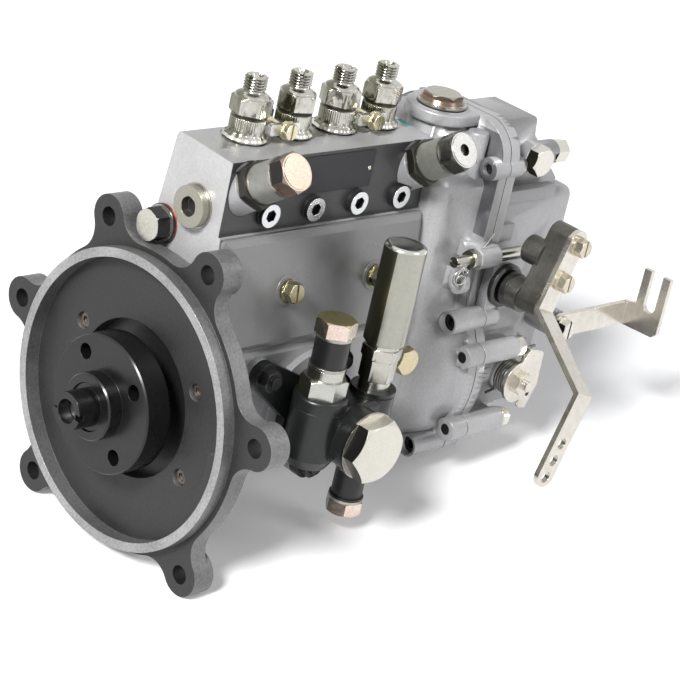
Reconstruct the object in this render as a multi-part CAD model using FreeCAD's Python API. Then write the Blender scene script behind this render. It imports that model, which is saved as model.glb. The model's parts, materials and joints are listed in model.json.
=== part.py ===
import FreeCAD, Part
import math
import os

V = FreeCAD.Vector
X_AXIS = V(1, 0, 0)
Y_AXIS = V(0, 1, 0)
Z_AXIS = V(0, 0, 1)

# Inline diesel injection pump, four cylinders, flange mounted, with a
# centrifugal governor on its rear end and a plunger feed pump on its front side.
# Frame: +X runs along the camshaft from the drive flange to the governor, the
# feed pump side is -Y and the delivery valves point to +Z. The origin lies on
# the camshaft axis, on the mating face of the flange ears. All sizes in mm.

# Pump line
PITCH = 32.0
FIRST_X = 46.0
CYLINDERS = 4
PUMP_X = [FIRST_X + PITCH * i for i in range(CYLINDERS)]
PUMP_MID = sum(PUMP_X) / CYLINDERS
RUN_GAP = 0.05
CLEAR = 0.3

# Mounting flange
EAR_ANGLES = [24.0, 80.0, 140.0]
EAR_CIRCLE_R = 93.4
EAR_R = 11.5
EAR_DEPTH = 13.0
EAR_HOLE_R = 5.0
RIM_R = 81.5
RIM_BLEND_R = 14.0
RIM_DEPTH = 10.0
SPIGOT_R = 78.7
SPIGOT_WALL = 5.0
SPIGOT_DEPTH = 7.0
DISC_FACE_X = 1.5
DISC_OPENING_R = 41.5
FLANGE_SCREW_R = 50.5
FLANGE_SCREW_ANGLES = [61.5, 118.0]
FLANGE_SCREW_HEAD_R = 3.9
FLANGE_SCREW_RECESS = 3.0

# Drive hub and its nut
HUB_FACE_X = -18.9
HUB_R = 36.4
HUB_DISC_DEPTH = 15.0
HUB_BARREL_R = 24.0
HUB_BOSS_R = 17.6
HUB_BOSS_X = -27.5
HUB_HOLE_CIRCLE_R = 27.9
HUB_HOLE_R = 4.25
HUB_HOLE_TURN = -37.0
NUT_END_X = -40.5
NUT_R = 10.0
NUT_BORE_R = 6.4
NUT_FOOT_R = 12.4
TAPER_X = -21.0

# Camshaft and bearings
SHAFT_R = 10.0
SHAFT_TAPER_R = 8.5
CAM_BASE_R = 13.0
CAM_LIFT = 8.0
CAM_NOSE_R = 6.0
CAM_WIDTH = 15.0
FIRING_TURNS = [0.0, 270.0, 90.0, 180.0]
BEARING_R = 20.0
BEARING_BORE_R = 8.5
BEARING_WIDTH = 12.0
BEARING_BALL_R = 3.4
BEARING_BALLS = 8
FRONT_BEARING_X = 22.0
SEAL_WIDTH = 6.0

# Pump housing
HOUSE_X0 = 15.5
HOUSE_X1 = 162.0
HOUSE_TOP_Z = 138.5
HOUSE_FRONT_Y = -25.0
HOUSE_REAR_Y = 18.0
LEDGE_Z = 97.5
SLOPE_FOOT_Z = 36.5
SLOPE_LEAN = 8.0
CHAMBER_HALF = 37.0
CHAMBER_BOTTOM_Z = -36.0
CHAMBER_CORNER_R = 20.0
HOUSE_WALL = 8.0
END_FLANGE_R = 57.0
SPRING_ROOM_Z0 = 62.0
SPRING_ROOM_Z1 = 93.0
SPRING_ROOM_REAR_Y = 9.0

# Pumping elements
TAPPET_R = 13.0
TAPPET_TOP_Z = 63.0
ROLLER_R = 8.0
ROLLER_GAP = 0.4
BARREL_R = 11.0
BARREL_LOWER_R = 6.5
BARREL_FOOT_Z = 84.0
BARREL_SHOULDER_Z = 101.0
BARREL_TOP_Z = 122.0
PLUNGER_R = 4.25
SLEEVE_R = 8.8
RACK_R = 5.0
RACK_Y = 14.0
RACK_Z = 90.0
GEAR_MODULE = 1.0
GEAR_TEETH = 22
QUADRANT_SIDE = 4
GEAR_WIDTH = 6.0
GEAR_BACKLASH = 0.24
RACK_TRAVEL = 10.0

# Delivery valve holders
HOLDER_TOP_Z = 172.0
HOLDER_THREAD_R = 6.0
HOLDER_THREAD_LEN = 9.5
HOLDER_SHOULDER = 5.0
HOLDER_HEX = 19.0
HOLDER_HEX_LEN = 8.0
HOLDER_KNURL_R = 9.4
HOLDER_RING_R = 12.0
HOLDER_RING_H = 3.0
HOLDER_BORE_R = 1.5

# Fuel fittings on the sloped bosses at both ends of the gallery
FITTING_X = [28.0, 150.0]
FITTING_TILT = 35.0
FITTING_BOSS_Y = -29.6
FITTING_BOSS_Z = 125.4
FITTING_BOSS_R = 11.5
FITTING_SLEEVE_R = 10.3
FITTING_SLEEVE_LEN = 14.0
FITTING_HEX = 19.0
FITTING_HEX_LEN = 9.0
FITTING_NUT_LEN = 5.0
WASHER = 1.5

# Side cover
COVER_X0 = 16.0
COVER_X1 = 161.5
COVER_RIM = 2.2
COVER_PANEL = 2.4
COVER_BEVEL = 3.0
GASKET = 0.5

# Feed pump
FEED_X = PUMP_MID
FEED_Z = -4.0
FEED_PAD_Y = -41.0
FEED_BARREL_R = 17.0
FEED_PLUG_Y = -83.0
FEED_PLUG_HEX = 32.0
FEED_PLUG_LEN = 9.0
FEED_VALVE_Y = -60.0
FEED_INLET_X = 77.0
FEED_PRIMER_X = 117.0
FEED_TOP_Z = 13.0
FEED_FLANGE_H = 5.5
FEED_PISTON_R = 13.0
FEED_PISTON_Y = -57.0
FEED_PISTON_LEN = 10.0
FEED_STROKE = 5.0
FEED_STUDS = [(49.0, 25.0), (100.0, 28.5), (94.0, -33.0)]

# Hand primer
PRIMER_R = 11.4
PRIMER_TOP_Z = 97.0
PRIMER_SKIRT_Z = 37.0
PRIMER_WALL = 1.4
PRIMER_HEX = 19.0
PRIMER_STROKE = 22.0

# Governor
GOV_X0 = HOUSE_X1
GASKET_X = 205.0
GOV_RIM = 7.0
GOV_BULGE_R = 54.0
GOV_WALL = 4.5
GOV_ROUND_R = 57.6
GOV_TOP_Z = 147.0
GOV_TOP_HALF = 45.5
GOV_CORNER_R = 20.0
GOV_NECK_R = 16.5
FILLER_X = 187.0
FILLER_Y = -4.0
FILLER_R = 12.6
FILLER_HEX = 19.0
COVER_BACK_X = 274.0
COVER_LOW_TOP_Z = 105.0
COVER_LOW_HALF = 42.0
COVER_UP_HALF = 35.0
COVER_UP_X = GASKET_X + 31.0
COVER_ROUND_X = 256.0
COVER_ROUND_R = 48.0
GOV_BOSS_R = 6.5
FRONT_BOSSES = [(-49.0, 37.5), (-41.5, -41.0)]
REAR_BOSSES = [(-54.5, 17.0), (-55.0, -27.0)]
TOP_BOSSES = [(-41.0, 123.0)]

# Levers
LEVER_X = 216.0
LEVER_Z = 57.0
LEVER_LEAN = 19.6
LEVER_SHAFT_R = 6.0
BUSH_FACE_Y = -56.0
ARM_BACK_Y = -69.0
ARM_FRONT_Y = -82.0
ARM_TOP = 46.0
ARM_WIDTH = 15.0
STRAP = 3.0
STRAP_WIDTH = 14.0
STRAP_BEND_1 = 3.0
STRAP_BEND_2 = 31.0
STRAP_OFFSET = 46.0
STRAP_END = 86.0
STRAP_HOLES = [60.0, 70.0, 80.0]
STRAP_HOLE_R = 3.2
LEVER_SCREWS = [16.5, 37.5]
STOP_X = GASKET_X + 36.0
STOP_Z = -3.0
STOP_PAD_Y = -50.0
STOP_PLATE_Y = -59.0

# Cable bracket
BRACKET_Y = -60.0
BRACKET_Z = 29.0
BRACKET_X0 = 256.0
BRACKET_X1 = 322.0
BRACKET_H = 14.0
BRACKET_T = 3.0

# Flyweights
WEIGHT_PIVOT_X = 178.0
WEIGHT_PIVOT_R = 28.0
WEIGHT_TOE_R = 12.0
CARRIER_X = 167.5


def box(x0, x1, y0, y1, z0, z1):
    low = V(min(x0, x1), min(y0, y1), min(z0, z1))
    return Part.makeBox(abs(x1 - x0), abs(y1 - y0), abs(z1 - z0), low)


def rod(radius, length, at, axis=Z_AXIS):
    return Part.makeCylinder(radius, length, V(*at), axis)


def ring(outer, inner, length, at, axis=Z_AXIS):
    return rod(outer, length, at, axis).cut(rod(inner, length, at, axis))


def cone(r0, r1, length, at, axis=Z_AXIS):
    return Part.makeCone(r0, r1, length, V(*at), axis)


def join(*shapes):
    body = shapes[0]
    if len(shapes) > 1:
        body = body.multiFuse(list(shapes[1:])).removeSplitter()
    return body


def less(body, *tools):
    return body.cut(Part.makeCompound(list(tools)))


def side_frame(axis):
    up = X_AXIS if abs(axis.dot(X_AXIS)) < 0.9 else Z_AXIS
    first = up.sub(V(axis).multiply(up.dot(axis))).normalize()
    return first, axis.cross(first)


def hexagon(flats, length, at, axis=Z_AXIS, turn=0.0):
    """Hexagon prism with the corners of its outer end lightly chamfered."""
    first, second = side_frame(axis)
    radius = flats / math.sqrt(3)
    corners = []
    for i in range(7):
        angle = math.radians(turn + 60 * i)
        offset = V(first).multiply(radius * math.cos(angle))
        offset = offset.add(V(second).multiply(radius * math.sin(angle)))
        corners.append(V(*at).add(offset))
    prism = Part.Face(Part.makePolygon(corners)).extrude(V(axis).multiply(length))
    drop = 0.12 * radius
    end = V(*at).add(V(axis).multiply(length - drop))
    trim = Part.makeCone(radius * 1.02, radius * 0.86, drop, end, axis)
    hull = rod(radius * 1.02, length - drop, at, axis).fuse(trim)
    return prism.common(hull)


def revolved(points, at, axis):
    """Solid of revolution from (along, radius) points about an axis."""
    first, _ = side_frame(axis)
    origin = V(*at)
    wire = []
    for along, radius in points + points[:1]:
        wire.append(origin.add(V(axis).multiply(along)).add(V(first).multiply(radius)))
    return Part.Face(Part.makePolygon(wire)).revolve(origin, axis, 360)


def plate_yz(points, x0, x1):
    wire = Part.makePolygon([V(x0, y, z) for y, z in points + points[:1]])
    return Part.Face(wire).extrude(V(x1 - x0, 0, 0))


def plate_xz(points, y0, y1):
    wire = Part.makePolygon([V(x, y0, z) for x, z in points + points[:1]])
    return Part.Face(wire).extrude(V(0, y1 - y0, 0))


def mirrored_y(shape):
    return shape.mirror(V(0, 0, 0), Y_AXIS)


def rounded(shape, radius, wanted):
    """Fillet the straight edges whose midpoint the test accepts."""
    edges = []
    for edge in shape.Edges:
        mid = edge.valueAt((edge.FirstParameter + edge.LastParameter) / 2)
        tangent = edge.tangentAt((edge.FirstParameter + edge.LastParameter) / 2)
        if wanted(mid, tangent):
            edges.append(edge)
    return shape.makeFillet(radius, edges)


def polar_yz(radius, angle):
    turn = math.radians(angle)
    return -radius * math.sin(turn), radius * math.cos(turn)


def arc(a, middle, b):
    return Part.Arc(a, middle, b).toShape()


def mounting_flange():
    """Cast flange: eared rim, machined spigot ring and a recessed disc."""
    angles = sorted(EAR_ANGLES + [360 - a for a in EAR_ANGLES])
    reach = RIM_R + RIM_BLEND_R
    along = (reach ** 2 - (EAR_R + RIM_BLEND_R) ** 2 + EAR_CIRCLE_R ** 2) / (2 * EAR_CIRCLE_R)
    across = math.sqrt(reach ** 2 - along ** 2)
    spread = math.degrees(math.atan2(across, along))

    def blend(angle, side):
        centre = V(0, *polar_yz(reach, angle + side * spread))
        ear = V(0, *polar_yz(EAR_CIRCLE_R, angle))
        to_rim = V(centre).multiply(-1).normalize()
        to_ear = ear.sub(centre).normalize()
        middle = to_rim.add(to_ear).normalize()
        return [centre.add(V(d).multiply(RIM_BLEND_R)) for d in (to_rim, middle, to_ear)]

    edges = []
    for i, angle in enumerate(angles):
        rim_in, mid_in, ear_in = blend(angle, -1)
        rim_out, mid_out, ear_out = blend(angle, 1)
        tip = V(0, *polar_yz(EAR_CIRCLE_R + EAR_R, angle))
        edges += [arc(rim_in, mid_in, ear_in), arc(ear_in, tip, ear_out)]
        edges.append(arc(ear_out, mid_out, rim_out))
        following = angles[(i + 1) % len(angles)]
        half = ((following - angle) % 360) / 2
        rim_next = blend(following, -1)[0]
        edges.append(arc(rim_out, V(0, *polar_yz(RIM_R, angle + half)), rim_next))
    body = Part.Face(Part.Wire(edges)).extrude(V(RIM_DEPTH, 0, 0))
    for angle in angles:
        body = body.fuse(rod(EAR_R, EAR_DEPTH, (0, *polar_yz(EAR_CIRCLE_R, angle)), X_AXIS))
    body = body.fuse(rod(SPIGOT_R, SPIGOT_DEPTH, (-SPIGOT_DEPTH, 0, 0), X_AXIS))
    recess_r = SPIGOT_R - SPIGOT_WALL
    recess = SPIGOT_DEPTH + DISC_FACE_X
    tools = [rod(recess_r, recess, (-SPIGOT_DEPTH, 0, 0), X_AXIS)]
    tools.append(rod(DISC_OPENING_R, RIM_DEPTH + 2, (-1, 0, 0), X_AXIS))
    for angle in angles:
        tools.append(rod(EAR_HOLE_R, EAR_DEPTH + 2, (-1, *polar_yz(EAR_CIRCLE_R, angle)), X_AXIS))
    for y, z in flange_screw_places():
        tools.append(rod(FLANGE_SCREW_HEAD_R + 0.7, FLANGE_SCREW_RECESS + 4, (DISC_FACE_X - 1, y, z), X_AXIS))
        tools.append(rod(3.1, RIM_DEPTH + 1, (0, y, z), X_AXIS))
    body = less(body, *tools).removeSplitter()
    pocket = ring(recess_r + 1, recess_r - 7, 3.5, (DISC_FACE_X - 0.01, 0, 0), X_AXIS)
    y, z = polar_yz(recess_r, 99)
    pocket = pocket.common(rod(13, 5, (DISC_FACE_X - 1, y, z), X_AXIS))
    lug = ring(recess_r + 1, recess_r - 6, 8, (-SPIGOT_DEPTH + 1.2, 0, 0), X_AXIS)
    lug = lug.common(rod(15, 9, (-SPIGOT_DEPTH + 1, y, z), X_AXIS))
    return less(body, pocket).fuse(lug).removeSplitter()


def flange_screw_places():
    return [polar_yz(FLANGE_SCREW_R, s * a) for a in FLANGE_SCREW_ANGLES for s in (1, -1)]


def flange_screws():
    head_x = DISC_FACE_X + FLANGE_SCREW_RECESS - 1.2
    screws = []
    for y, z in flange_screw_places():
        head = rod(FLANGE_SCREW_HEAD_R, 4.2 - FLANGE_SCREW_RECESS + 1.2 + 1.0, (head_x, y, z), X_AXIS)
        shank = rod(2.9, 16, (head_x + 1, y, z), X_AXIS)
        socket = hexagon(4.0, 1.6, (head_x - 0.2, y, z), X_AXIS)
        screws.append(less(head.fuse(shank), socket))
    return Part.makeCompound(screws)


def slope_y(z):
    """Front face of the housing between the ledge and the cam chamber."""
    share = (LEDGE_Z - z) / (LEDGE_Z - SLOPE_FOOT_Z)
    return HOUSE_FRONT_Y - 1.5 - SLOPE_LEAN * share


def housing_block():
    foot = SLOPE_FOOT_Z
    outline = [
        (HOUSE_REAR_Y - 2, HOUSE_TOP_Z + 0.9), (-3, HOUSE_TOP_Z),
        (HOUSE_FRONT_Y, HOUSE_TOP_Z - 1.2), (HOUSE_FRONT_Y, LEDGE_Z + 0.6),
        (slope_y(LEDGE_Z), LEDGE_Z), (slope_y(foot), foot),
        (-CHAMBER_HALF, foot - 4), (-CHAMBER_HALF, CHAMBER_BOTTOM_Z),
        (CHAMBER_HALF, CHAMBER_BOTTOM_Z), (CHAMBER_HALF, foot + 2),
        (HOUSE_REAR_Y + 8, foot + 14), (HOUSE_REAR_Y + 3, LEDGE_Z),
    ]
    block = plate_yz(outline, HOUSE_X0, HOUSE_X1)

    def bottom_corner(mid, tangent):
        return abs(tangent.x) > 0.99 and mid.z < CHAMBER_BOTTOM_Z + 1

    def rear_corner(mid, tangent):
        return abs(tangent.x) > 0.99 and mid.y > HOUSE_REAR_Y - 3 and mid.z > HOUSE_TOP_Z - 1

    block = rounded(block, CHAMBER_CORNER_R, bottom_corner)
    return rounded(block, 3.0, rear_corner)


def fitting_axis():
    tilt = math.radians(FITTING_TILT)
    return V(0, -math.cos(tilt), math.sin(tilt))


def fitting_point(x, out):
    axis = fitting_axis()
    return (x, FITTING_BOSS_Y + axis.y * out, FITTING_BOSS_Z + axis.z * out)


def pump_housing():
    """Light-alloy casting with the cam chamber, tappet bores and gallery."""
    body = housing_block()
    body = body.fuse(rod(END_FLANGE_R, 12, (RIM_DEPTH, 0, 0), X_AXIS))
    body = body.fuse(rod(41, 8, (HOUSE_X1 - 8, 0, 0), X_AXIS))
    for x in FITTING_X:
        body = body.fuse(rod(FITTING_BOSS_R, 14, fitting_point(x, -14), fitting_axis()))
    pad = rod(33, -FEED_PAD_Y - 30, (FEED_X, -30, FEED_Z + 2), -Y_AXIS)
    body = body.fuse(pad)
    for x, z in FEED_STUDS:
        body = body.fuse(rod(8, -FEED_PAD_Y - 30, (x, -30, z), -Y_AXIS))
    body = body.fuse(rod(9, -32 - OIL_PLUG_Y, (OIL_PLUG[0], -32, OIL_PLUG[1]), -Y_AXIS))
    body = body.removeSplitter()
    inner = CHAMBER_HALF - HOUSE_WALL
    room_x0 = FRONT_BEARING_X + BEARING_WIDTH
    room_x1 = HOUSE_X1 - BEARING_WIDTH
    tools = [rod(inner, room_x1 - room_x0, (room_x0, 0, 0), X_AXIS)]
    tools.append(box(room_x0, room_x1, -inner, inner, 0, 32))
    tools.append(rod(BEARING_R + RUN_GAP, HOUSE_X1 - 5, (5, 0, 0), X_AXIS))
    window_x0 = COVER_X0 + 9
    window_x1 = COVER_X1 - 11
    spring_room = box(window_x0, window_x1, -50, SPRING_ROOM_REAR_Y, SPRING_ROOM_Z0, SPRING_ROOM_Z1)
    for x in cover_screw_x():
        spring_room = less(spring_room, rod(5.5, 60, (x, 10, cover_screw_z()), -Y_AXIS))
    tools.append(spring_room)
    for x in PUMP_X:
        tools.append(rod(TAPPET_R + RUN_GAP, 45, (x, 0, 20)))
        tools.append(rod(12.6, SPRING_ROOM_Z1 - SPRING_ROOM_Z0, (x, 0, SPRING_ROOM_Z0)))
        tools.append(rod(BARREL_R, 40, (x, 0, SPRING_ROOM_Z1 - 1)))
        tools.append(rod(HOLDER_KNURL_R + 1.6, 30, (x, 0, BARREL_TOP_Z - 2)))
        tools.append(rod(4.0, 20, (x, HOUSE_FRONT_Y - 1, plug_z()), Y_AXIS))
    tools.append(rod(RACK_R + RUN_GAP, HOUSE_X1, (HOUSE_X0 - 1, RACK_Y, RACK_Z), X_AXIS))
    tools.append(rod(6.5, PUMP_X[-1] - HOUSE_X0, (HOUSE_X0 - 1, GALLERY_Y, plug_z()), X_AXIS))
    for x in FITTING_X:
        tools.append(rod(7.0, 25, fitting_point(x, -23), fitting_axis()))
    middle = -cover_height() / 2
    for x in cover_screw_x():
        tools.append(leaned(rod(3.0, 16, (x, -1, middle), Y_AXIS)))
    tools.append(leaned(box(COVER_X0 - 0.3, COVER_X1 + 0.3, -40, 0, -cover_height() - 0.3, 0.3)))
    for x in PUMP_X:
        tools.append(rod(HOLDER_RING_R + 0.5, 8, (x, 0, HOUSE_TOP_Z + 0.3)))
        tools.append(rod(7.3, 12, (x, HOUSE_FRONT_Y, plug_z()), -Y_AXIS))
    for x in FITTING_X:
        tools.append(rod(FITTING_BOSS_R + 1.5, 40, fitting_point(x, 0), fitting_axis()))
    for x, z in FEED_STUDS:
        tools.append(rod(3.6, 10, (x, FEED_PAD_Y - 1, z), Y_AXIS))
    tools.append(rod(14.2, 30, (FEED_X, FEED_PAD_Y - 1, FEED_Z), Y_AXIS))
    for y, z in flange_screw_places():
        tools.append(rod(2.9, 12, (RIM_DEPTH - 1, y, z), X_AXIS))
    tools.append(rod(4.0, 10, (OIL_PLUG[0], OIL_PLUG_Y - 1, OIL_PLUG[1]), Y_AXIS))
    return less(body, *tools)


GALLERY_Y = -6.0
OIL_PLUG = (152.5, 19.0)
OIL_PLUG_Y = -45.5


def plug_z():
    return 107.5


def cover_screw_x():
    return [(PUMP_X[0] + PUMP_X[1]) / 2, (PUMP_X[-2] + PUMP_X[-1]) / 2]


def cover_screw_z():
    return (LEDGE_Z + SLOPE_FOOT_Z) / 2


def cover_lean():
    return math.degrees(math.atan2(SLOPE_LEAN, LEDGE_Z - SLOPE_FOOT_Z))


def leaned(shape):
    """Lay a part drawn against y = 0, hanging below z = 0, on the front slope."""
    placed = shape.copy()
    placed.rotate(V(0, 0, 0), X_AXIS, -cover_lean())
    placed.translate(V(0, slope_y(LEDGE_Z), LEDGE_Z))
    return placed


def cover_height():
    return math.hypot(LEDGE_Z - SLOPE_FOOT_Z, SLOPE_LEAN)


def side_cover():
    height = cover_height()
    y0 = -GASKET
    rim = box(COVER_X0, COVER_X1, y0 - COVER_RIM, y0, -height, 0)
    rim = rounded(rim, 3.0, lambda mid, tangent: abs(tangent.y) > 0.99)
    low = rectangle_wire(COVER_X0 + 1, COVER_X1 - 1, -height + 1, -1, y0 - COVER_RIM)
    inset = COVER_BEVEL + 1
    high = rectangle_wire(COVER_X0 + inset, COVER_X1 - inset, -height + inset, -inset, y0 - COVER_RIM - COVER_PANEL)
    body = rim.fuse(Part.makeLoft([low, high], True)).removeSplitter()
    hollow = box(COVER_X0 + 9, COVER_X1 - 9, y0 - COVER_RIM - 0.4, y0 + 1, -height + 9, -7)
    body = less(body, hollow)
    middle = -height / 2
    for x in cover_screw_x():
        body = body.fuse(rod(8.2, COVER_RIM + COVER_PANEL + 0.6, (x, y0, middle), -Y_AXIS))
    holes = [rod(3.3, 12, (x, 1, middle), -Y_AXIS) for x in cover_screw_x()]
    return leaned(less(body.removeSplitter(), *holes))


def rectangle_wire(x0, x1, z0, z1, y):
    return Part.makePolygon([V(x0, y, z0), V(x1, y, z0), V(x1, y, z1), V(x0, y, z1), V(x0, y, z0)])


def side_cover_gasket():
    height = cover_height()
    sheet = box(COVER_X0 + 0.6, COVER_X1 - 0.6, -GASKET, 0, -height + 0.6, -0.6)
    window = box(COVER_X0 + 9, COVER_X1 - 11, -GASKET - 1, 1, -height + 26, -4.5)
    middle = -height / 2
    window = less(window, *[rod(6.5, 4, (x, 2, middle), -Y_AXIS) for x in cover_screw_x()])
    holes = [rod(3.3, 4, (x, 2, middle), -Y_AXIS) for x in cover_screw_x()]
    return leaned(less(sheet, window, *holes))


def slotted_hex_screw(flats, head, shank_r, shank, at, axis, turn=0.0):
    """Hexagon screw with a screwdriver slot and a washer under its head."""
    first, second = side_frame(axis)
    start = V(*at)
    washer = rod(flats * 0.62, WASHER, at, axis)
    washer = washer.cut(rod(shank_r + 0.2, WASHER + 2, start.sub(axis), axis))
    head_at = start.add(V(axis).multiply(WASHER))
    body = hexagon(flats, head, head_at, axis, turn)
    body = body.fuse(Part.makeCylinder(shank_r, shank + WASHER, start.sub(V(axis).multiply(shank)), axis))
    slot = Part.makeBox(1.2, flats * 2, 1.8)
    slot.translate(V(-0.6, -flats, -0.9))
    slot.Placement = FreeCAD.Placement(
        head_at.add(V(axis).multiply(head)), FreeCAD.Rotation(first, second, axis, "ZXY")
    ).multiply(slot.Placement)
    return [less(body, slot), washer]


def side_cover_screws():
    solids = []
    middle = -cover_height() / 2
    seat = -(GASKET + COVER_RIM + COVER_PANEL + 0.6)
    for x in cover_screw_x():
        solids += slotted_hex_screw(10, 5.5, 2.95, 12, (x, seat, middle), -Y_AXIS)
    return leaned(Part.makeCompound(solids))


def holder_zs():
    thread = HOLDER_TOP_Z - HOLDER_THREAD_LEN
    shoulder = thread - HOLDER_SHOULDER
    hex_foot = shoulder - HOLDER_HEX_LEN
    return thread, shoulder, hex_foot


def delivery_valve_holders():
    thread, shoulder, hex_foot = holder_zs()
    seat = HOUSE_TOP_Z + 0.3
    foot = BARREL_TOP_Z + 4.5
    holders = []
    for x in PUMP_X:
        lower = [(foot, 0), (foot, HOLDER_KNURL_R + 1.2), (seat, HOLDER_KNURL_R + 1.2)]
        lower += [(seat, HOLDER_RING_R - 0.6), (seat + 1.0, HOLDER_RING_R)]
        lower += [(seat + HOLDER_RING_H, HOLDER_RING_R - 1.6), (seat + HOLDER_RING_H, HOLDER_KNURL_R)]
        lower += [(hex_foot, HOLDER_KNURL_R), (hex_foot, 0)]
        body = revolved(lower, (x, 0, 0), Z_AXIS)
        body = body.fuse(hexagon(HOLDER_HEX, HOLDER_HEX_LEN + 0.6, (x, 0, hex_foot), Z_AXIS, 10))
        upper = [(shoulder, 0), (shoulder, HOLDER_HEX / 2 + 0.2), (shoulder + 1.6, HOLDER_HEX / 2 - 1.0)]
        upper += [(thread - 1.6, HOLDER_THREAD_R - 0.2), (thread - 1.0, 5.1), (thread, 5.1)]
        upper += [(thread, HOLDER_THREAD_R), (HOLDER_TOP_Z - 1, HOLDER_THREAD_R)]
        upper += [(HOLDER_TOP_Z, HOLDER_THREAD_R - 1), (HOLDER_TOP_Z, 0)]
        body = body.fuse(revolved(upper, (x, 0, 0), Z_AXIS))
        room = [rod(6.2, shoulder - foot - 2, (x, 0, foot - 1))]
        room.append(rod(HOLDER_BORE_R, 40, (x, 0, foot + 10)))
        room.append(cone(HOLDER_BORE_R, 3.6, 2.6, (x, 0, HOLDER_TOP_Z - 2.5)))
        body = less(body.removeSplitter(), *room)
        holders.append(body)
    return Part.makeCompound(holders)


def delivery_valves():
    """Seat, valve with its retraction collar, and spring, under each holder."""
    _, shoulder, _ = holder_zs()
    solids = []
    foot = BARREL_TOP_Z
    for x in PUMP_X:
        seat = ring(10.4, 3.1, 4.3, (x, 0, foot + 0.05))
        seat = seat.fuse(ring(5.8, 3.1, 4.2, (x, 0, foot + 4.3))).removeSplitter()
        valve = revolved([(foot + 1, 0), (foot + 1, 2.9), (foot + 8.6, 2.9), (foot + 10.4, 4.6),
                          (foot + 12, 4.6), (foot + 12, 2.2), (foot + 15, 2.2), (foot + 15, 0)],
                         (x, 0, 0), Z_AXIS)
        solids += [seat, valve]
        solids.append(coil(3.9, 0.8, foot + 12.9, shoulder - 4.4, 5, (x, 0)))
    return Part.makeCompound(solids)


def coil(radius, wire_r, z0, z1, turns, centre):
    """Coil spring drawn as one ring for each of its turns."""
    rings = []
    step = (z1 - z0) / (turns - 1)
    for i in range(turns):
        rings.append(Part.makeTorus(radius, wire_r, V(centre[0], centre[1], z0 + step * i)))
    for i in range(turns - 1):
        angle = math.pi * i
        x = centre[0] + radius * math.cos(angle)
        y = centre[1] + radius * math.sin(angle)
        rings.append(rod(wire_r * 0.7, step, (x, y, z0 + step * i)))
    return rings[0].multiFuse(rings[1:])


def clamp_middles():
    return [(PUMP_X[i] + PUMP_X[i + 1]) / 2 for i in range(0, CYLINDERS - 1, 2)]


def clamp_z():
    return HOUSE_TOP_Z + HOLDER_RING_H + 1.4


def clamp_plates():
    _, _, hex_foot = holder_zs()
    top = hex_foot - 0.6
    plates = []
    for x in clamp_middles():
        for y0, y1 in ((-11.5, -8.7), (8.7, 11.5)):
            plate = box(x - 10.5, x + 10.5, y0, y1, clamp_z(), top)
            plate = rounded(plate, 1.5, lambda mid, tangent: abs(tangent.y) > 0.99)
            tools = [rod(HOLDER_KNURL_R + 0.1, 40, (c, 0, 130)) for c in PUMP_X]
            tools.append(rod(2.6, 8, (x, y0 - 2, (clamp_z() + top) / 2), Y_AXIS))
            plates.append(less(plate, *tools))
    return Part.makeCompound(plates)


def clamp_screws():
    _, _, hex_foot = holder_zs()
    z = (clamp_z() + hex_foot - 0.6) / 2
    solids = []
    for x in clamp_middles():
        solids += slotted_hex_screw(8, 3.6, 2.5, 23.0, (x, -11.5, z), -Y_AXIS)
        solids.append(hexagon(8, 3.5, (x, 11.5, z), Y_AXIS).cut(rod(2.5, 8, (x, 9, z), Y_AXIS)))
    return Part.makeCompound(solids)


def plunger_barrels():
    barrels = []
    for x in PUMP_X:
        profile = [(BARREL_FOOT_Z, PLUNGER_R + 0.02), (BARREL_FOOT_Z, BARREL_LOWER_R)]
        profile += [(BARREL_SHOULDER_Z, BARREL_LOWER_R), (BARREL_SHOULDER_Z, BARREL_R - RUN_GAP)]
        profile += [(BARREL_TOP_Z, BARREL_R - RUN_GAP), (BARREL_TOP_Z, PLUNGER_R + 0.02)]
        barrel = revolved(profile, (x, 0, 0), Z_AXIS)
        barrel = less(barrel, rod(1.6, 40, (x, -20, plug_z() + 4), Y_AXIS),
                      box(x - 3, x + 3, -12, -BARREL_R + 2, plug_z() - 4, plug_z() + 2))
        barrels.append(barrel)
    return Part.makeCompound(barrels)


def plunger_foot_z():
    return tappet_foot_z() + 2 * ROLLER_R + 20


def tappet_foot_z():
    return CAM_BASE_R + CAM_LIFT + ROLLER_GAP


def involute_point(base_r, roll):
    x = base_r * (math.cos(roll) + roll * math.sin(roll))
    y = base_r * (math.sin(roll) - roll * math.cos(roll))
    return x, y


def gear_outline():
    """Closed list of points round a toothed quadrant with involute flanks."""
    pitch_r = GEAR_MODULE * GEAR_TEETH / 2
    tip_r = pitch_r + GEAR_MODULE
    root_r = pitch_r - 1.2 * GEAR_MODULE
    pressure = math.radians(20)
    base_r = pitch_r * math.cos(pressure)
    at_pitch = math.tan(pressure) - pressure
    half = (math.pi * GEAR_MODULE / 2 - GEAR_BACKLASH / 2) / 2 / pitch_r + at_pitch
    last = math.sqrt((tip_r / base_r) ** 2 - 1)
    flank = [involute_point(base_r, last * i / 3) for i in range(4)]
    points = []
    for tooth in range(-QUADRANT_SIDE, QUADRANT_SIDE + 1):
        centre = 2 * math.pi * tooth / GEAR_TEETH
        start = centre - half
        points.append((root_r * math.cos(start), root_r * math.sin(start)))
        for x, y in flank:
            points.append((x * math.cos(start) - y * math.sin(start),
                           x * math.sin(start) + y * math.cos(start)))
        end = centre + half
        for x, y in reversed(flank):
            points.append((x * math.cos(end) + y * math.sin(end),
                           x * math.sin(end) - y * math.cos(end)))
        points.append((root_r * math.cos(end), root_r * math.sin(end)))
    turn = 2 * math.pi * (QUADRANT_SIDE + 0.5) / GEAR_TEETH
    plain = 24
    for i in range(plain + 1):
        angle = turn + (2 * math.pi - 2 * turn) * i / plain
        points.append((root_r * math.cos(angle), root_r * math.sin(angle)))
    return points


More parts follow.
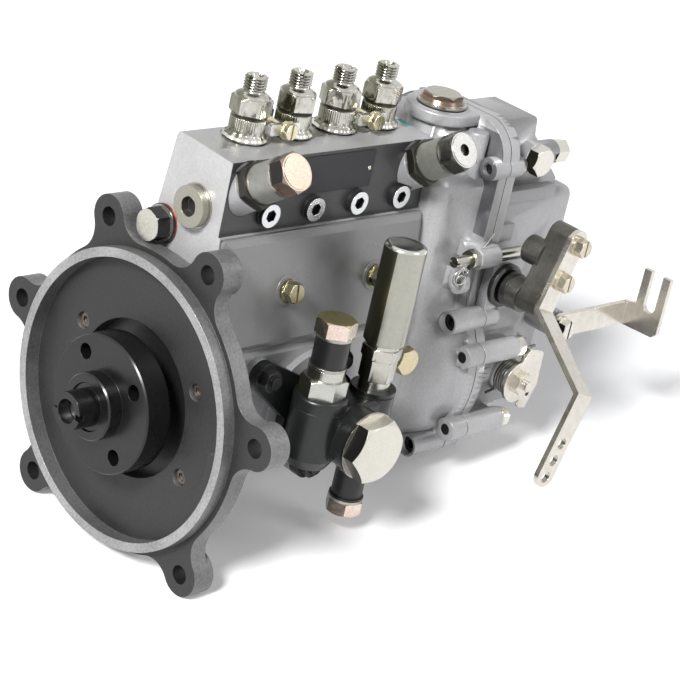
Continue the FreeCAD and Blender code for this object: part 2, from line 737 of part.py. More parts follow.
def pump_element(x):
    """Plunger with its vane, and the toothed control sleeve that turns it."""
    foot = plunger_foot_z()
    plunger = rod(PLUNGER_R, BARREL_TOP_Z - 6 - foot, (x, 0, foot))
    plunger = plunger.fuse(rod(PLUNGER_R - 0.8, 3, (x, 0, foot)))
    plunger = plunger.fuse(rod(6.2, 1.6, (x, 0, foot - 1.6)))
    vane_z = RACK_Z - GEAR_WIDTH / 2 - 9
    plunger = plunger.fuse(box(x - 7.5, x + 7.5, -1.5, 1.5, vane_z, vane_z + 4)).removeSplitter()
    groove = box(x + 1.6, x + 6, -6, 6, BARREL_TOP_Z - 17, BARREL_TOP_Z - 12)
    plunger = less(plunger, groove)
    top = RACK_Z + GEAR_WIDTH / 2
    sleeve = rod(SLEEVE_R, top - vane_z + 3, (x, 0, vane_z - 3))
    points = [V(x + py, px, RACK_Z - GEAR_WIDTH / 2) for px, py in gear_outline()]
    teeth = Part.Face(Part.makePolygon(points + points[:1])).extrude(V(0, 0, GEAR_WIDTH))
    sleeve = sleeve.fuse(teeth)
    sleeve = less(sleeve, rod(BARREL_LOWER_R + RUN_GAP, 60, (x, 0, 60)),
                  box(x - 7.6, x + 7.6, -1.55, 1.55, vane_z - 4, vane_z + 4.2))
    return Part.makeCompound([plunger, sleeve])


def control_rack():
    """Toothed control rod: one group of teeth meshes with each sleeve."""
    bar = rod(RACK_R, HOUSE_X1 + 22 - HOUSE_X0, (HOUSE_X0 + 2, RACK_Y, RACK_Z), X_AXIS)
    pitch_y = GEAR_MODULE * GEAR_TEETH / 2
    step = math.pi * GEAR_MODULE
    slope = math.tan(math.radians(20))
    half = (step / 2 + GEAR_BACKLASH / 2) / 2
    deep = 1.25 * GEAR_MODULE
    high = RACK_R
    tools = []
    reach = RACK_TRAVEL + 5
    tip_y = pitch_y - GEAR_MODULE
    for x in PUMP_X:
        tools.append(box(x - reach, x + reach, tip_y - high, tip_y, RACK_Z - 9, RACK_Z + 9))
        count = int(reach / step)
        for k in range(-count, count + 1):
            middle = x + k * step
            low = half - deep * slope
            wide = half + high * slope
            gap = [(middle - low, pitch_y + deep), (middle + low, pitch_y + deep)]
            gap += [(middle + wide, pitch_y - high), (middle - wide, pitch_y - high)]
            wire = Part.makePolygon([V(gx, gy, RACK_Z - 9) for gx, gy in gap + gap[:1]])
            tools.append(Part.Face(wire).extrude(V(0, 0, 18)))
    return less(bar, *tools)


def plunger_springs():
    """Return spring with its upper and lower seats round each element."""
    solids = []
    foot = plunger_foot_z()
    top = RACK_Z - GEAR_WIDTH / 2 - 13
    for x in PUMP_X:
        solids.append(ring(12.2, 9.2, 1.6, (x, 0, top)))
        solids.append(ring(11.6, PLUNGER_R + CLEAR, 1.4, (x, 0, foot + 0.2)))
        solids.append(coil(10.4, 1.1, foot + 3.0, top - 1.4, 4, (x, 0)))
    return Part.makeCompound(solids)


def roller_tappets():
    solids = []
    foot = tappet_foot_z()
    centre = foot + ROLLER_R
    top = plunger_foot_z() - 1.8
    for x in PUMP_X:
        body = rod(TAPPET_R, top - centre + 4, (x, 0, centre - 4))
        body = less(body, box(x - 6, x + 6, -20, 20, centre - 10, centre + ROLLER_R + 0.8))
        body = less(body, rod(3.55, 40, (x - 20, 0, centre), X_AXIS))
        pin = rod(3.5, 24, (x - 12, 0, centre), X_AXIS)
        roller = ring(ROLLER_R, 3.55, 11.4, (x - 5.7, 0, centre), X_AXIS)
        solids += [body, pin, roller]
    return Part.makeCompound(solids)


def barrel_screws():
    """Locating screws that hold the barrels, on the front face."""
    solids = []
    for x in PUMP_X:
        washer = rod(6.9, 1.2, (x, HOUSE_FRONT_Y, plug_z()), -Y_AXIS)
        head = rod(6.3, 4.0, (x, HOUSE_FRONT_Y, plug_z()), -Y_AXIS)
        shank = rod(3.95, HOUSE_FRONT_Y * -1 - BARREL_R - 0.3, (x, HOUSE_FRONT_Y, plug_z()), Y_AXIS)
        body = join(washer, head, shank)
        socket = hexagon(6, 3.4, (x, HOUSE_FRONT_Y - 4.2 + 3.4, plug_z()), -Y_AXIS, 15)
        solids.append(less(body, socket))
    return Part.makeCompound(solids)


def fitting_lengths():
    nut = WASHER + FITTING_NUT_LEN
    sleeve = nut + WASHER
    head = sleeve + FITTING_SLEEVE_LEN + WASHER
    return nut, sleeve, head


def fuel_fitting(x, hollow):
    axis = fitting_axis()
    _, _, head = fitting_lengths()
    body = hexagon(FITTING_HEX, FITTING_HEX_LEN, fitting_point(x, head), axis, 20)
    body = body.fuse(rod(8.6, 0.8, fitting_point(x, head + FITTING_HEX_LEN - 0.4), axis))
    body = body.fuse(rod(6.9, head + 14, fitting_point(x, -14), axis))
    if hollow:
        body = less(body, rod(3.2, 6, fitting_point(x, head + FITTING_HEX_LEN - 4), axis),
                    rod(1.8, 12, fitting_point(x, head), axis))
    return body.removeSplitter()


def fitting_nuts():
    """Hexagon seat adapters between the bosses and the sleeves."""
    axis = fitting_axis()
    solids = []
    for x in FITTING_X:
        nut = hexagon(22, FITTING_NUT_LEN, fitting_point(x, WASHER), axis, 20)
        solids.append(nut.cut(rod(6.95, 60, fitting_point(x, -20), axis)))
    return Part.makeCompound(solids)


def fitting_sleeves():
    axis = fitting_axis()
    _, sleeve, _ = fitting_lengths()
    solids = []
    for x in FITTING_X:
        at = fitting_point(x, sleeve)
        solids.append(ring(FITTING_SLEEVE_R, 7.2, FITTING_SLEEVE_LEN, at, axis))
    return Part.makeCompound(solids)


def sealing_washers():
    axis = fitting_axis()
    nut, sleeve, head = fitting_lengths()
    solids = []
    for x in FITTING_X:
        for out in (0, nut, head - WASHER):
            solids.append(ring(10.4, 7.0, WASHER, fitting_point(x, out), axis))
    solids.append(ring(11.6, 8.2, 1.0, (HOUSE_X0 - 1.0, GALLERY_Y, plug_z()), X_AXIS))
    solids.append(ring(10.0, 7.2, 1.0, (HOUSE_X0 - 1.0, RACK_Y, RACK_Z), X_AXIS))
    levels = inlet_levels()
    for z in (levels["washer_low"], levels["washer_high"]):
        solids.append(ring(9.9, 6.6, WASHER, (FEED_INLET_X, FEED_VALVE_Y, z)))
    levels = outlet_levels()
    for z in (levels["washer_high"], levels["washer_low"]):
        solids.append(ring(9.4, 6.2, WASHER, (outlet_x(), FEED_VALVE_Y, z)))
    return Part.makeCompound(solids)


def gallery_plug():
    plug = rod(10.8, 4.5, (HOUSE_X0 - 1.0, GALLERY_Y, plug_z()), -X_AXIS)
    plug = plug.fuse(rod(6.45, 14, (HOUSE_X0 - 1.0, GALLERY_Y, plug_z()), X_AXIS))
    socket = hexagon(10, 5, (HOUSE_X0 - 0.6, GALLERY_Y, plug_z()), -X_AXIS, 10)
    return less(plug, socket)


def rack_cap():
    face = HOUSE_X0 - 1.0
    cap = rod(9.1, 8.5, (face, RACK_Y, RACK_Z), -X_AXIS)
    cap = cap.fuse(cone(9.1, 7.4, 1.6, (face - 8.5, RACK_Y, RACK_Z), -X_AXIS))
    cap = cap.fuse(hexagon(13, 2.4, (face - 10.1, RACK_Y, RACK_Z), -X_AXIS, 0))
    cap = cap.fuse(rod(7.1, 1.0, (face, RACK_Y, RACK_Z), X_AXIS))
    return less(cap.removeSplitter(), rod(5.6, 9, (face + 1.5, RACK_Y, RACK_Z), -X_AXIS))


def nameplate():
    plate = box(58, 118, HOUSE_FRONT_Y - 0.5, HOUSE_FRONT_Y, 115.2, 135.6)
    return rounded(plate, 1.2, lambda mid, tangent: abs(tangent.y) > 0.99)


def oil_level_plug():
    x, z = OIL_PLUG
    head = hexagon(14, 6.0, (x, OIL_PLUG_Y, z), -Y_AXIS, 12)
    return head.fuse(rod(3.95, 8, (x, OIL_PLUG_Y, z), Y_AXIS)).removeSplitter()


def bearing_places():
    return [FRONT_BEARING_X, HOUSE_X1 - BEARING_WIDTH]


def ball_circle():
    return (BEARING_R + BEARING_BORE_R) / 2


def bearing_race(x, outer, inner):
    race = ring(outer, inner, BEARING_WIDTH, (x, 0, 0), X_AXIS)
    groove = Part.makeTorus(ball_circle(), BEARING_BALL_R + 0.06, V(x + BEARING_WIDTH / 2, 0, 0), X_AXIS)
    return race.cut(groove)


def bearing_outer_rings():
    inner = ball_circle() + BEARING_BALL_R * 0.55
    return Part.makeCompound([bearing_race(x, BEARING_R, inner) for x in bearing_places()])


def bearing_inner_rings():
    outer = ball_circle() - BEARING_BALL_R * 0.55
    solids = [bearing_race(x, outer, BEARING_BORE_R) for x in bearing_places()]
    for x in bearing_places():
        for i in range(BEARING_BALLS):
            y, z = polar_yz(ball_circle(), 360 * i / BEARING_BALLS)
            solids.append(Part.makeSphere(BEARING_BALL_R, V(x + BEARING_WIDTH / 2, y, z)))
    return Part.makeCompound(solids)


def shaft_seal():
    x = FRONT_BEARING_X - SEAL_WIDTH - 0.5
    seal = ring(BEARING_R, BEARING_R - 2, SEAL_WIDTH, (x, 0, 0), X_AXIS)
    return seal.fuse(ring(BEARING_R, SHAFT_R + 0.06, 2, (x, 0, 0), X_AXIS)).removeSplitter()


def cam_shape(x, turn):
    """Cam lobe: base circle, nose circle and the straight flanks between."""
    nose_z = CAM_BASE_R + CAM_LIFT - CAM_NOSE_R
    lean = math.acos((CAM_BASE_R - CAM_NOSE_R) / nose_z)
    base_y = CAM_BASE_R * math.sin(lean)
    base_z = CAM_BASE_R * math.cos(lean)
    tip_y = CAM_NOSE_R * math.sin(lean)
    tip_z = nose_z + CAM_NOSE_R * math.cos(lean)
    x0 = x - CAM_WIDTH / 2
    edges = [arc(V(x0, -base_y, base_z), V(x0, 0, -CAM_BASE_R), V(x0, base_y, base_z))]
    edges.append(Part.makeLine(V(x0, base_y, base_z), V(x0, tip_y, tip_z)))
    edges.append(arc(V(x0, tip_y, tip_z), V(x0, 0, CAM_BASE_R + CAM_LIFT), V(x0, -tip_y, tip_z)))
    edges.append(Part.makeLine(V(x0, -tip_y, tip_z), V(x0, -base_y, base_z)))
    lobe = Part.Face(Part.Wire(edges)).extrude(V(CAM_WIDTH, 0, 0))
    lobe.rotate(V(0, 0, 0), X_AXIS, turn)
    return lobe


def camshaft():
    rear = HOUSE_X1 - BEARING_WIDTH
    front = FRONT_BEARING_X
    profile = [(-33, 0), (-33, 6.0), (TAPER_X, 6.0), (TAPER_X, 6.8), (2, SHAFT_R - 0.2),
               (6, SHAFT_R), (front, SHAFT_R), (front, BEARING_BORE_R),
               (front + BEARING_WIDTH, BEARING_BORE_R), (front + BEARING_WIDTH, 11.0),
               (rear, 11.0), (rear, BEARING_BORE_R), (HOUSE_X1 + 2, BEARING_BORE_R),
               (HOUSE_X1 + 2, 7.0), (CARRIER_X + 8, 7.0), (CARRIER_X + 8, 0)]
    shaft = revolved(profile, (0, 0, 0), X_AXIS)
    for x, turn in zip(PUMP_X, FIRING_TURNS):
        shaft = shaft.fuse(cam_shape(x, turn + 45))
    feed_cam = rod(15.0, 12, (FEED_X - 6, 3.0, 0), X_AXIS)
    return shaft.fuse(feed_cam).removeSplitter()


def taper_radius(x):
    share = (x - TAPER_X) / (2 - TAPER_X)
    return 6.8 + share * (SHAFT_R - 0.2 - 6.8)


def drive_hub():
    """Coupling hub with four tapped holes, seated on the shaft taper."""
    back = HUB_FACE_X + HUB_DISC_DEPTH
    counter = -21.5
    profile = [(counter, taper_radius(counter)), (counter, NUT_FOOT_R + CLEAR), (HUB_BOSS_X, NUT_FOOT_R + CLEAR)]
    profile += [(HUB_BOSS_X, HUB_BOSS_R - 0.8), (HUB_BOSS_X + 0.8, HUB_BOSS_R)]
    profile += [(HUB_FACE_X, HUB_BOSS_R), (HUB_FACE_X, HUB_R - 0.8), (HUB_FACE_X + 0.8, HUB_R)]
    profile += [(back, HUB_R), (back, HUB_BARREL_R), (1.5, HUB_BARREL_R), (1.5, taper_radius(1.5))]
    hub = revolved(profile, (0, 0, 0), X_AXIS)
    holes = []
    for i in range(4):
        y, z = polar_yz(HUB_HOLE_CIRCLE_R, HUB_HOLE_TURN + 90 * i)
        holes.append(rod(HUB_HOLE_R, 13, (HUB_FACE_X - 1, y, z), X_AXIS))
    return less(hub, *holes)


def hub_nut():
    foot = rod(NUT_FOOT_R, 5.0, (-21.5, 0, 0), -X_AXIS)
    nose = rod(NUT_R, -21.5 - NUT_END_X, (-21.5, 0, 0), -X_AXIS)
    nut = foot.fuse(nose)
    nut = less(nut, rod(NUT_BORE_R, 30, (TAPER_X, 0, 0), -X_AXIS),
               box(NUT_END_X - 1, NUT_END_X + 3, 7, 12, -1.5, 1.5),
               box(NUT_END_X - 1, NUT_END_X + 3, -12, -7, -1.5, 1.5))
    return nut.removeSplitter()


def feed_axis_rod(radius, y0, y1):
    return rod(radius, y0 - y1, (FEED_X, y0, FEED_Z), -Y_AXIS)


def outlet_x():
    return FEED_PRIMER_X - 2.0


def feed_pump_body():
    """Black cast body: piston barrel, two valve chambers and a 3-stud flange."""
    seat = FEED_PAD_Y - GASKET
    flange_y = seat - FEED_FLANGE_H
    body = feed_axis_rod(FEED_BARREL_R, seat, FEED_PLUG_Y)
    body = body.fuse(feed_axis_rod(26, seat, flange_y))
    for x, z in FEED_STUDS:
        body = body.fuse(rod(8.2, FEED_FLANGE_H, (x, seat, z), -Y_AXIS))
        reach = V(x - FEED_X, 0, z - FEED_Z)
        across = V(reach.z, 0, -reach.x).normalize().multiply(8.2)
        wide = V(reach.z, 0, -reach.x).normalize().multiply(15)
        centre = V(FEED_X, seat, FEED_Z)
        tip = centre.add(reach)
        web = [centre.add(wide), tip.add(across), tip.sub(across), centre.sub(wide)]
        face = Part.Face(Part.makePolygon(web + web[:1]))
        body = body.fuse(face.extrude(V(0, -FEED_FLANGE_H, 0)))
    left = revolved([(FEED_TOP_Z, 0), (FEED_TOP_Z, 13.2), (FEED_TOP_Z - 2, 14.6), (-16, 14.2),
                     (-22, 10.5), (-24, 0)], (FEED_INLET_X, FEED_VALVE_Y, 0), Z_AXIS)
    right = revolved([(FEED_TOP_Z, 0), (FEED_TOP_Z, 12.8), (-14, 12.8), (-22, 10.6), (-31, 9.2), (-31, 0)],
                     (FEED_PRIMER_X - 1, FEED_VALVE_Y, 0), Z_AXIS)
    bridge = box(FEED_INLET_X, FEED_PRIMER_X, FEED_VALVE_Y - 12, FEED_VALVE_Y + 12, -17, FEED_TOP_Z)
    bridge = rounded(bridge, 3.0, lambda mid, tangent: abs(tangent.x) > 0.99 and mid.z > 0)
    neck = box(FEED_INLET_X - 4, FEED_PRIMER_X + 2, FEED_VALVE_Y, flange_y, -14, FEED_TOP_Z - 3)
    collar = rod(12.2, 2.6, (FEED_PRIMER_X, FEED_VALVE_Y, FEED_TOP_Z))
    body = join(body, left, right, bridge, neck, collar)
    tools = [feed_axis_rod(FEED_PISTON_R, FEED_PISTON_Y + 1, FEED_PLUG_Y - 1)]
    tools.append(feed_axis_rod(4.0 + RUN_GAP, seat + 1, FEED_PLUG_Y))
    tools.append(feed_axis_rod(12.0, seat + 1, seat - 4))
    tools.append(rod(6.6, 26, (FEED_INLET_X, FEED_VALVE_Y, FEED_TOP_Z - 25)))
    tools.append(rod(7.0, 26, (FEED_PRIMER_X, FEED_VALVE_Y, FEED_TOP_Z - 20)))
    tools.append(rod(6.1, 16, (outlet_x(), FEED_VALVE_Y, -32)))
    for x, z in FEED_STUDS:
        tools.append(rod(3.6, 30, (x, seat + 1, z), -Y_AXIS))
    return less(body, *tools)


def feed_pump_nuts():
    solids = []
    seat = FEED_PAD_Y - GASKET - FEED_FLANGE_H
    for x, z in FEED_STUDS:
        solids.append(rod(3.5, FEED_FLANGE_H + 15, (x, seat + FEED_FLANGE_H + 8, z), -Y_AXIS))
        nut = hexagon(11, 5.0, (x, seat, z), -Y_AXIS, 12)
        solids.append(nut.cut(rod(3.5, 8, (x, seat + 1, z), -Y_AXIS)))
    return Part.makeCompound(solids)


def feed_pump_plug():
    plug = hexagon(FEED_PLUG_HEX, FEED_PLUG_LEN, (FEED_X, FEED_PLUG_Y - 1.6, FEED_Z), -Y_AXIS, 8)
    plug = plug.fuse(rod(18.6, 1.6, (FEED_X, FEED_PLUG_Y, FEED_Z), -Y_AXIS))
    plug = plug.fuse(rod(12.9, 9, (FEED_X, FEED_PLUG_Y, FEED_Z), Y_AXIS))
    return plug.removeSplitter()


def feed_piston():
    """Piston, push rod and roller of the feed pump."""
    piston = feed_axis_rod(FEED_PISTON_R - RUN_GAP, FEED_PISTON_Y, FEED_PISTON_Y - FEED_PISTON_LEN)
    push = feed_axis_rod(4.0, -34.5, FEED_PISTON_Y - 2)
    head = feed_axis_rod(11.0, -27.0, -37.0)
    head = less(head, box(FEED_X - 4.6, FEED_X + 4.6, -33.4, -20, FEED_Z - 20, FEED_Z + 20))
    head = less(head, rod(2.5, 40, (FEED_X - 20, -29.0, FEED_Z), X_AXIS))
    pin = rod(2.45, 18, (FEED_X - 9, -29.0, FEED_Z), X_AXIS)
    roller = ring(4.2, 2.5, 8.6, (FEED_X - 4.3, -29.0, FEED_Z), X_AXIS)
    return Part.makeCompound([join(piston, push, head), roller, pin])


def feed_spring():
    room = FEED_PISTON_Y - FEED_PISTON_LEN - (FEED_PLUG_Y + 9)
    spring = coil(8.6, 0.9, 0.9, room - 0.9, 3, (0, 0))
    spring.rotate(V(0, 0, 0), X_AXIS, -90)
    spring.translate(V(FEED_X, FEED_PLUG_Y + 9, FEED_Z))
    return spring


def inlet_levels():
    adapter = FEED_TOP_Z
    washer_low = adapter + 20.5
    sleeve = washer_low + WASHER
    washer_high = sleeve + 15.5
    head = washer_high + WASHER
    return {"adapter": adapter, "washer_low": washer_low, "sleeve": sleeve,
            "washer_high": washer_high, "head": head}


def outlet_levels():
    washer_high = -31.0 - WASHER
    sleeve = washer_high - 17.0
    washer_low = sleeve - WASHER
    return {"washer_high": washer_high, "sleeve": sleeve, "washer_low": washer_low}


def feed_inlet_adapter():
    levels = inlet_levels()
    at = (FEED_INLET_X, FEED_VALVE_Y, levels["adapter"])
    body = hexagon(22, 15, at, Z_AXIS, 12)
    body = body.fuse(rod(9.9, 20.5, at))
    body = body.fuse(rod(6.5, 8, (FEED_INLET_X, FEED_VALVE_Y, levels["adapter"] - 8)))
    bore = rod(6.15, 30, (FEED_INLET_X, FEED_VALVE_Y, levels["adapter"] + 3))
    return less(body.removeSplitter(), bore)


def feed_pump_bolts():
    levels = inlet_levels()
    inlet = hexagon(19, 8.5, (FEED_INLET_X, FEED_VALVE_Y, levels["head"]), Z_AXIS, 20)
    length = levels["head"] - levels["adapter"] - 6
    inlet = inlet.fuse(rod(6.1, length, (FEED_INLET_X, FEED_VALVE_Y, levels["adapter"] + 6)))
    low = outlet_levels()
    at = (outlet_x(), FEED_VALVE_Y, low["washer_low"])
    outlet = hexagon(18, 7.5, at, -Z_AXIS, 12)
    outlet = outlet.fuse(rod(6.0, -20 - low["washer_low"], at))
    return Part.makeCompound([inlet, outlet])


def feed_pump_sleeves():
    levels = inlet_levels()
    upper = ring(9.3, 6.5, 15.5, (FEED_INLET_X, FEED_VALVE_Y, levels["sleeve"]))
    lower = ring(8.5, 6.2, 17.0, (outlet_x(), FEED_VALVE_Y, outlet_levels()["sleeve"]))
    lip = ring(9.4, 8.4, 1.4, (outlet_x(), FEED_VALVE_Y, outlet_levels()["sleeve"]))
    return Part.makeCompound([upper, lower.fuse(lip).removeSplitter()])


def primer_barrel():
    at = (FEED_PRIMER_X, FEED_VALVE_Y, 0)
    base = FEED_TOP_Z + 2.6
    body = hexagon(17, 5, (FEED_PRIMER_X, FEED_VALVE_Y, base), Z_AXIS, 20)
    body = body.fuse(hexagon(PRIMER_HEX, 14, (FEED_PRIMER_X, FEED_VALVE_Y, base + 5.5), Z_AXIS, 20))
    tube_top = PRIMER_SKIRT_Z + PRIMER_STROKE + 14
    body = body.fuse(revolved([(base, 0), (base, 8), (PRIMER_SKIRT_Z - 1, 8), (PRIMER_SKIRT_Z - 1, 9.2),
                               (tube_top, 9.2), (tube_top, 0)], at, Z_AXIS))
    body = body.fuse(rod(6.9, 10, (FEED_PRIMER_X, FEED_VALVE_Y, base - 10)))
    return less(body.removeSplitter(), rod(6.0, tube_top, (FEED_PRIMER_X, FEED_VALVE_Y, FEED_TOP_Z + 6)))


def primer_handle():
    """Pull handle: a capped skirt, with its rod and piston."""
    top = PRIMER_TOP_Z
    inner = PRIMER_R - PRIMER_WALL
    skirt = [(PRIMER_SKIRT_Z, inner), (PRIMER_SKIRT_Z, PRIMER_R), (top - 1.5, PRIMER_R),
             (top - 0.4, PRIMER_R - 0.5), (top, PRIMER_R - 1.6), (top, 0), (top - 3, 0), (top - 3, inner)]
    handle = revolved(skirt, (FEED_PRIMER_X, FEED_VALVE_Y, 0), Z_AXIS)
    link = rod(2.5, top - 3 - 27, (FEED_PRIMER_X, FEED_VALVE_Y, 27))
    piston = rod(5.95, 8, (FEED_PRIMER_X, FEED_VALVE_Y, 21))
    return Part.makeCompound([handle, link.fuse(piston).removeSplitter()])


def governor_outline(grow=0.0):
    """Joint outline: tall shouldered top over a round flyweight chamber."""
    radius = GOV_ROUND_R + grow
    half = GOV_TOP_HALF + grow
    top = GOV_TOP_Z + grow
    corner = GOV_CORNER_R
    meet_z = math.sqrt(radius ** 2 - half ** 2)
    turn = corner * (1 - math.sqrt(0.5))
    points = {}
    for side in (-1, 1):
        points[side] = [
            V(0, side * half, meet_z), V(0, side * half, top - corner),
            V(0, side * (half - turn), top - turn), V(0, side * (half - corner), top),
        ]
    left = points[-1]
    right = points[1]
    edges = [Part.makeLine(left[0], left[1]), arc(left[1], left[2], left[3])]
    edges += [Part.makeLine(left[3], right[3]), arc(right[3], right[2], right[1])]
    edges += [Part.makeLine(right[1], right[0]), arc(right[0], V(0, 0, -radius), left[0])]
    return Part.Wire(edges)


def governor_slab(x0, x1, grow=0.0):
    slab = Part.Face(governor_outline(grow)).extrude(V(x1 - x0, 0, 0))
    slab.translate(V(x0, 0, 0))
    return slab


def both_sides(places):
    return places + [(-y, z) for y, z in places]


def bulge(shrink, x0):
    """Round flyweight chamber with a domed front edge."""
    r = GOV_BULGE_R - shrink
    front = GOV_X0 + shrink
    points = [(x0, 0), (x0, 40 - shrink), (front + 4, 42 - shrink), (front + 9, 46.5 - shrink),
              (front + 15, 50.5 - shrink), (front + 22, 53 - shrink), (front + 30, r), (GASKET_X + 1, r),
              (GASKET_X + 1, 0)]
    return revolved(points, (0, 0, 0), X_AXIS)


def governor_housing():
    """Front half of the governor: flyweight bulge, shoulder and filler neck."""
    rim = governor_slab(GASKET_X - GOV_RIM, GASKET_X - GASKET)
    dome = bulge(0.0, GOV_X0).common(box(GOV_X0, GASKET_X - GASKET, -80, 80, -80, 80))
    shoulder = box(GOV_X0, GASKET_X - GOV_RIM, -37, 37, 20, 118)

    def shoulder_edge(mid, tangent):
        upright = abs(tangent.z) > 0.99 and mid.x < GOV_X0 + 1
        return upright or (mid.z > 117 and mid.x < GASKET_X - GOV_RIM - 1)

    shoulder = rounded(shoulder, 9.0, shoulder_edge)
    neck = box(GOV_X0 + 12, GASKET_X - GOV_RIM, -30, 30, 100, 138)
    neck = rounded(neck, 8.0, lambda mid, tangent: mid.x < GOV_X0 + 13)
    filler = rod(GOV_NECK_R, 34, (FILLER_X, FILLER_Y, GOV_TOP_Z - 34))
    body = join(rim, dome, shoulder, neck, filler)
    for y, z in both_sides(FRONT_BOSSES):
        body = body.fuse(rod(GOV_BOSS_R, 25, (GASKET_X - GASKET - 25, y, z), X_AXIS))
    for y, z in both_sides(REAR_BOSSES + TOP_BOSSES):
        body = body.fuse(rod(GOV_BOSS_R, 12, (GASKET_X - GASKET - 12, y, z), X_AXIS))
    stop = rod(6.2, 16, (GASKET_X - GASKET - 16, stop_screw_place()[0], stop_screw_place()[1]), X_AXIS)
    stop_web = box(GASKET_X - 16, GASKET_X - GASKET, -52, -36, 72, 82)
    body = body.fuse(stop).fuse(stop_web)
    body = body.fuse(rod(6.5, 4, (GASKET_X - 22, -46, 60), X_AXIS))
    body = body.fuse(box(GASKET_X - 21.8, GASKET_X - 17.8, -46, -36, 54, 66)).removeSplitter()
    wall = GOV_WALL
    tools = [bulge(wall, GOV_X0 + wall)]
    room = box(GOV_X0 + wall, GASKET_X + 1, -37 + wall, 37 - wall, 20, 118 - wall)
    tools.append(room)
    tools.append(box(GOV_X0 + 12 + wall, GASKET_X + 1, -30 + wall, 30 - wall, 100, 138 - wall))
    tools.append(rod(8.3, 60, (FILLER_X, FILLER_Y, GOV_TOP_Z - 50)))
    tools.append(rod(BEARING_R + 2, 20, (GOV_X0 - 1, 0, 0), X_AXIS))
    tools.append(rod(RACK_R + 1.0, 20, (GOV_X0 - 1, RACK_Y, RACK_Z), X_AXIS))
    for y, z in both_sides(FRONT_BOSSES + REAR_BOSSES + TOP_BOSSES):
        tools.append(rod(3.2, 60, (GASKET_X - 45, y, z), X_AXIS))
    for y, z in both_sides(FRONT_BOSSES):
        tools.append(rod(5.3, 12, (GASKET_X - GASKET - 27, y, z), X_AXIS))
    tools.append(rod(3.05, 30, (GASKET_X - 25, stop_screw_place()[0], stop_screw_place()[1]), X_AXIS))
    tools.append(rod(3.4, 10, (GASKET_X - 24, -46, 60), X_AXIS))
    return less(body, *tools)


def stop_screw_place():
    return -50.0, 75.0


def stop_screw():
    """Full-load stop screw with its lock nut, through the side boss."""
    y, z = stop_screw_place()
    face = GASKET_X - GASKET - 16
    screw = rod(3.0, 54, (face - 17, y, z), X_AXIS)
    screw = less(screw, box(face - 18, face - 15, y - 5, y + 5, z - 0.6, z + 0.6))
    nut = hexagon(10, 5, (face, y, z), -X_AXIS, 15).cut(rod(3.05, 10, (face + 1, y, z), -X_AXIS))
    return Part.makeCompound([screw, nut])


def gaskets():
    joint = governor_slab(GASKET_X - GASKET, GASKET_X)
    joint = less(joint, governor_slab(GASKET_X - 2, GASKET_X + 2, -5.5))
    holes = [rod(3.2, 4, (GASKET_X - 2, y, z), X_AXIS) for y, z in both_sides(FRONT_BOSSES + REAR_BOSSES + TOP_BOSSES)]
    joint = less(joint, *holes)
    seat = FEED_PAD_Y
    feed = rod(26, GASKET, (FEED_X, seat, FEED_Z), -Y_AXIS)
    feed = less(feed, rod(14.2, 4, (FEED_X, seat + 1, FEED_Z), -Y_AXIS),
                *[rod(3.6, 4, (x, seat + 1, z), -Y_AXIS) for x, z in FEED_STUDS])
    return Part.makeCompound([joint, feed, side_cover_gasket()])


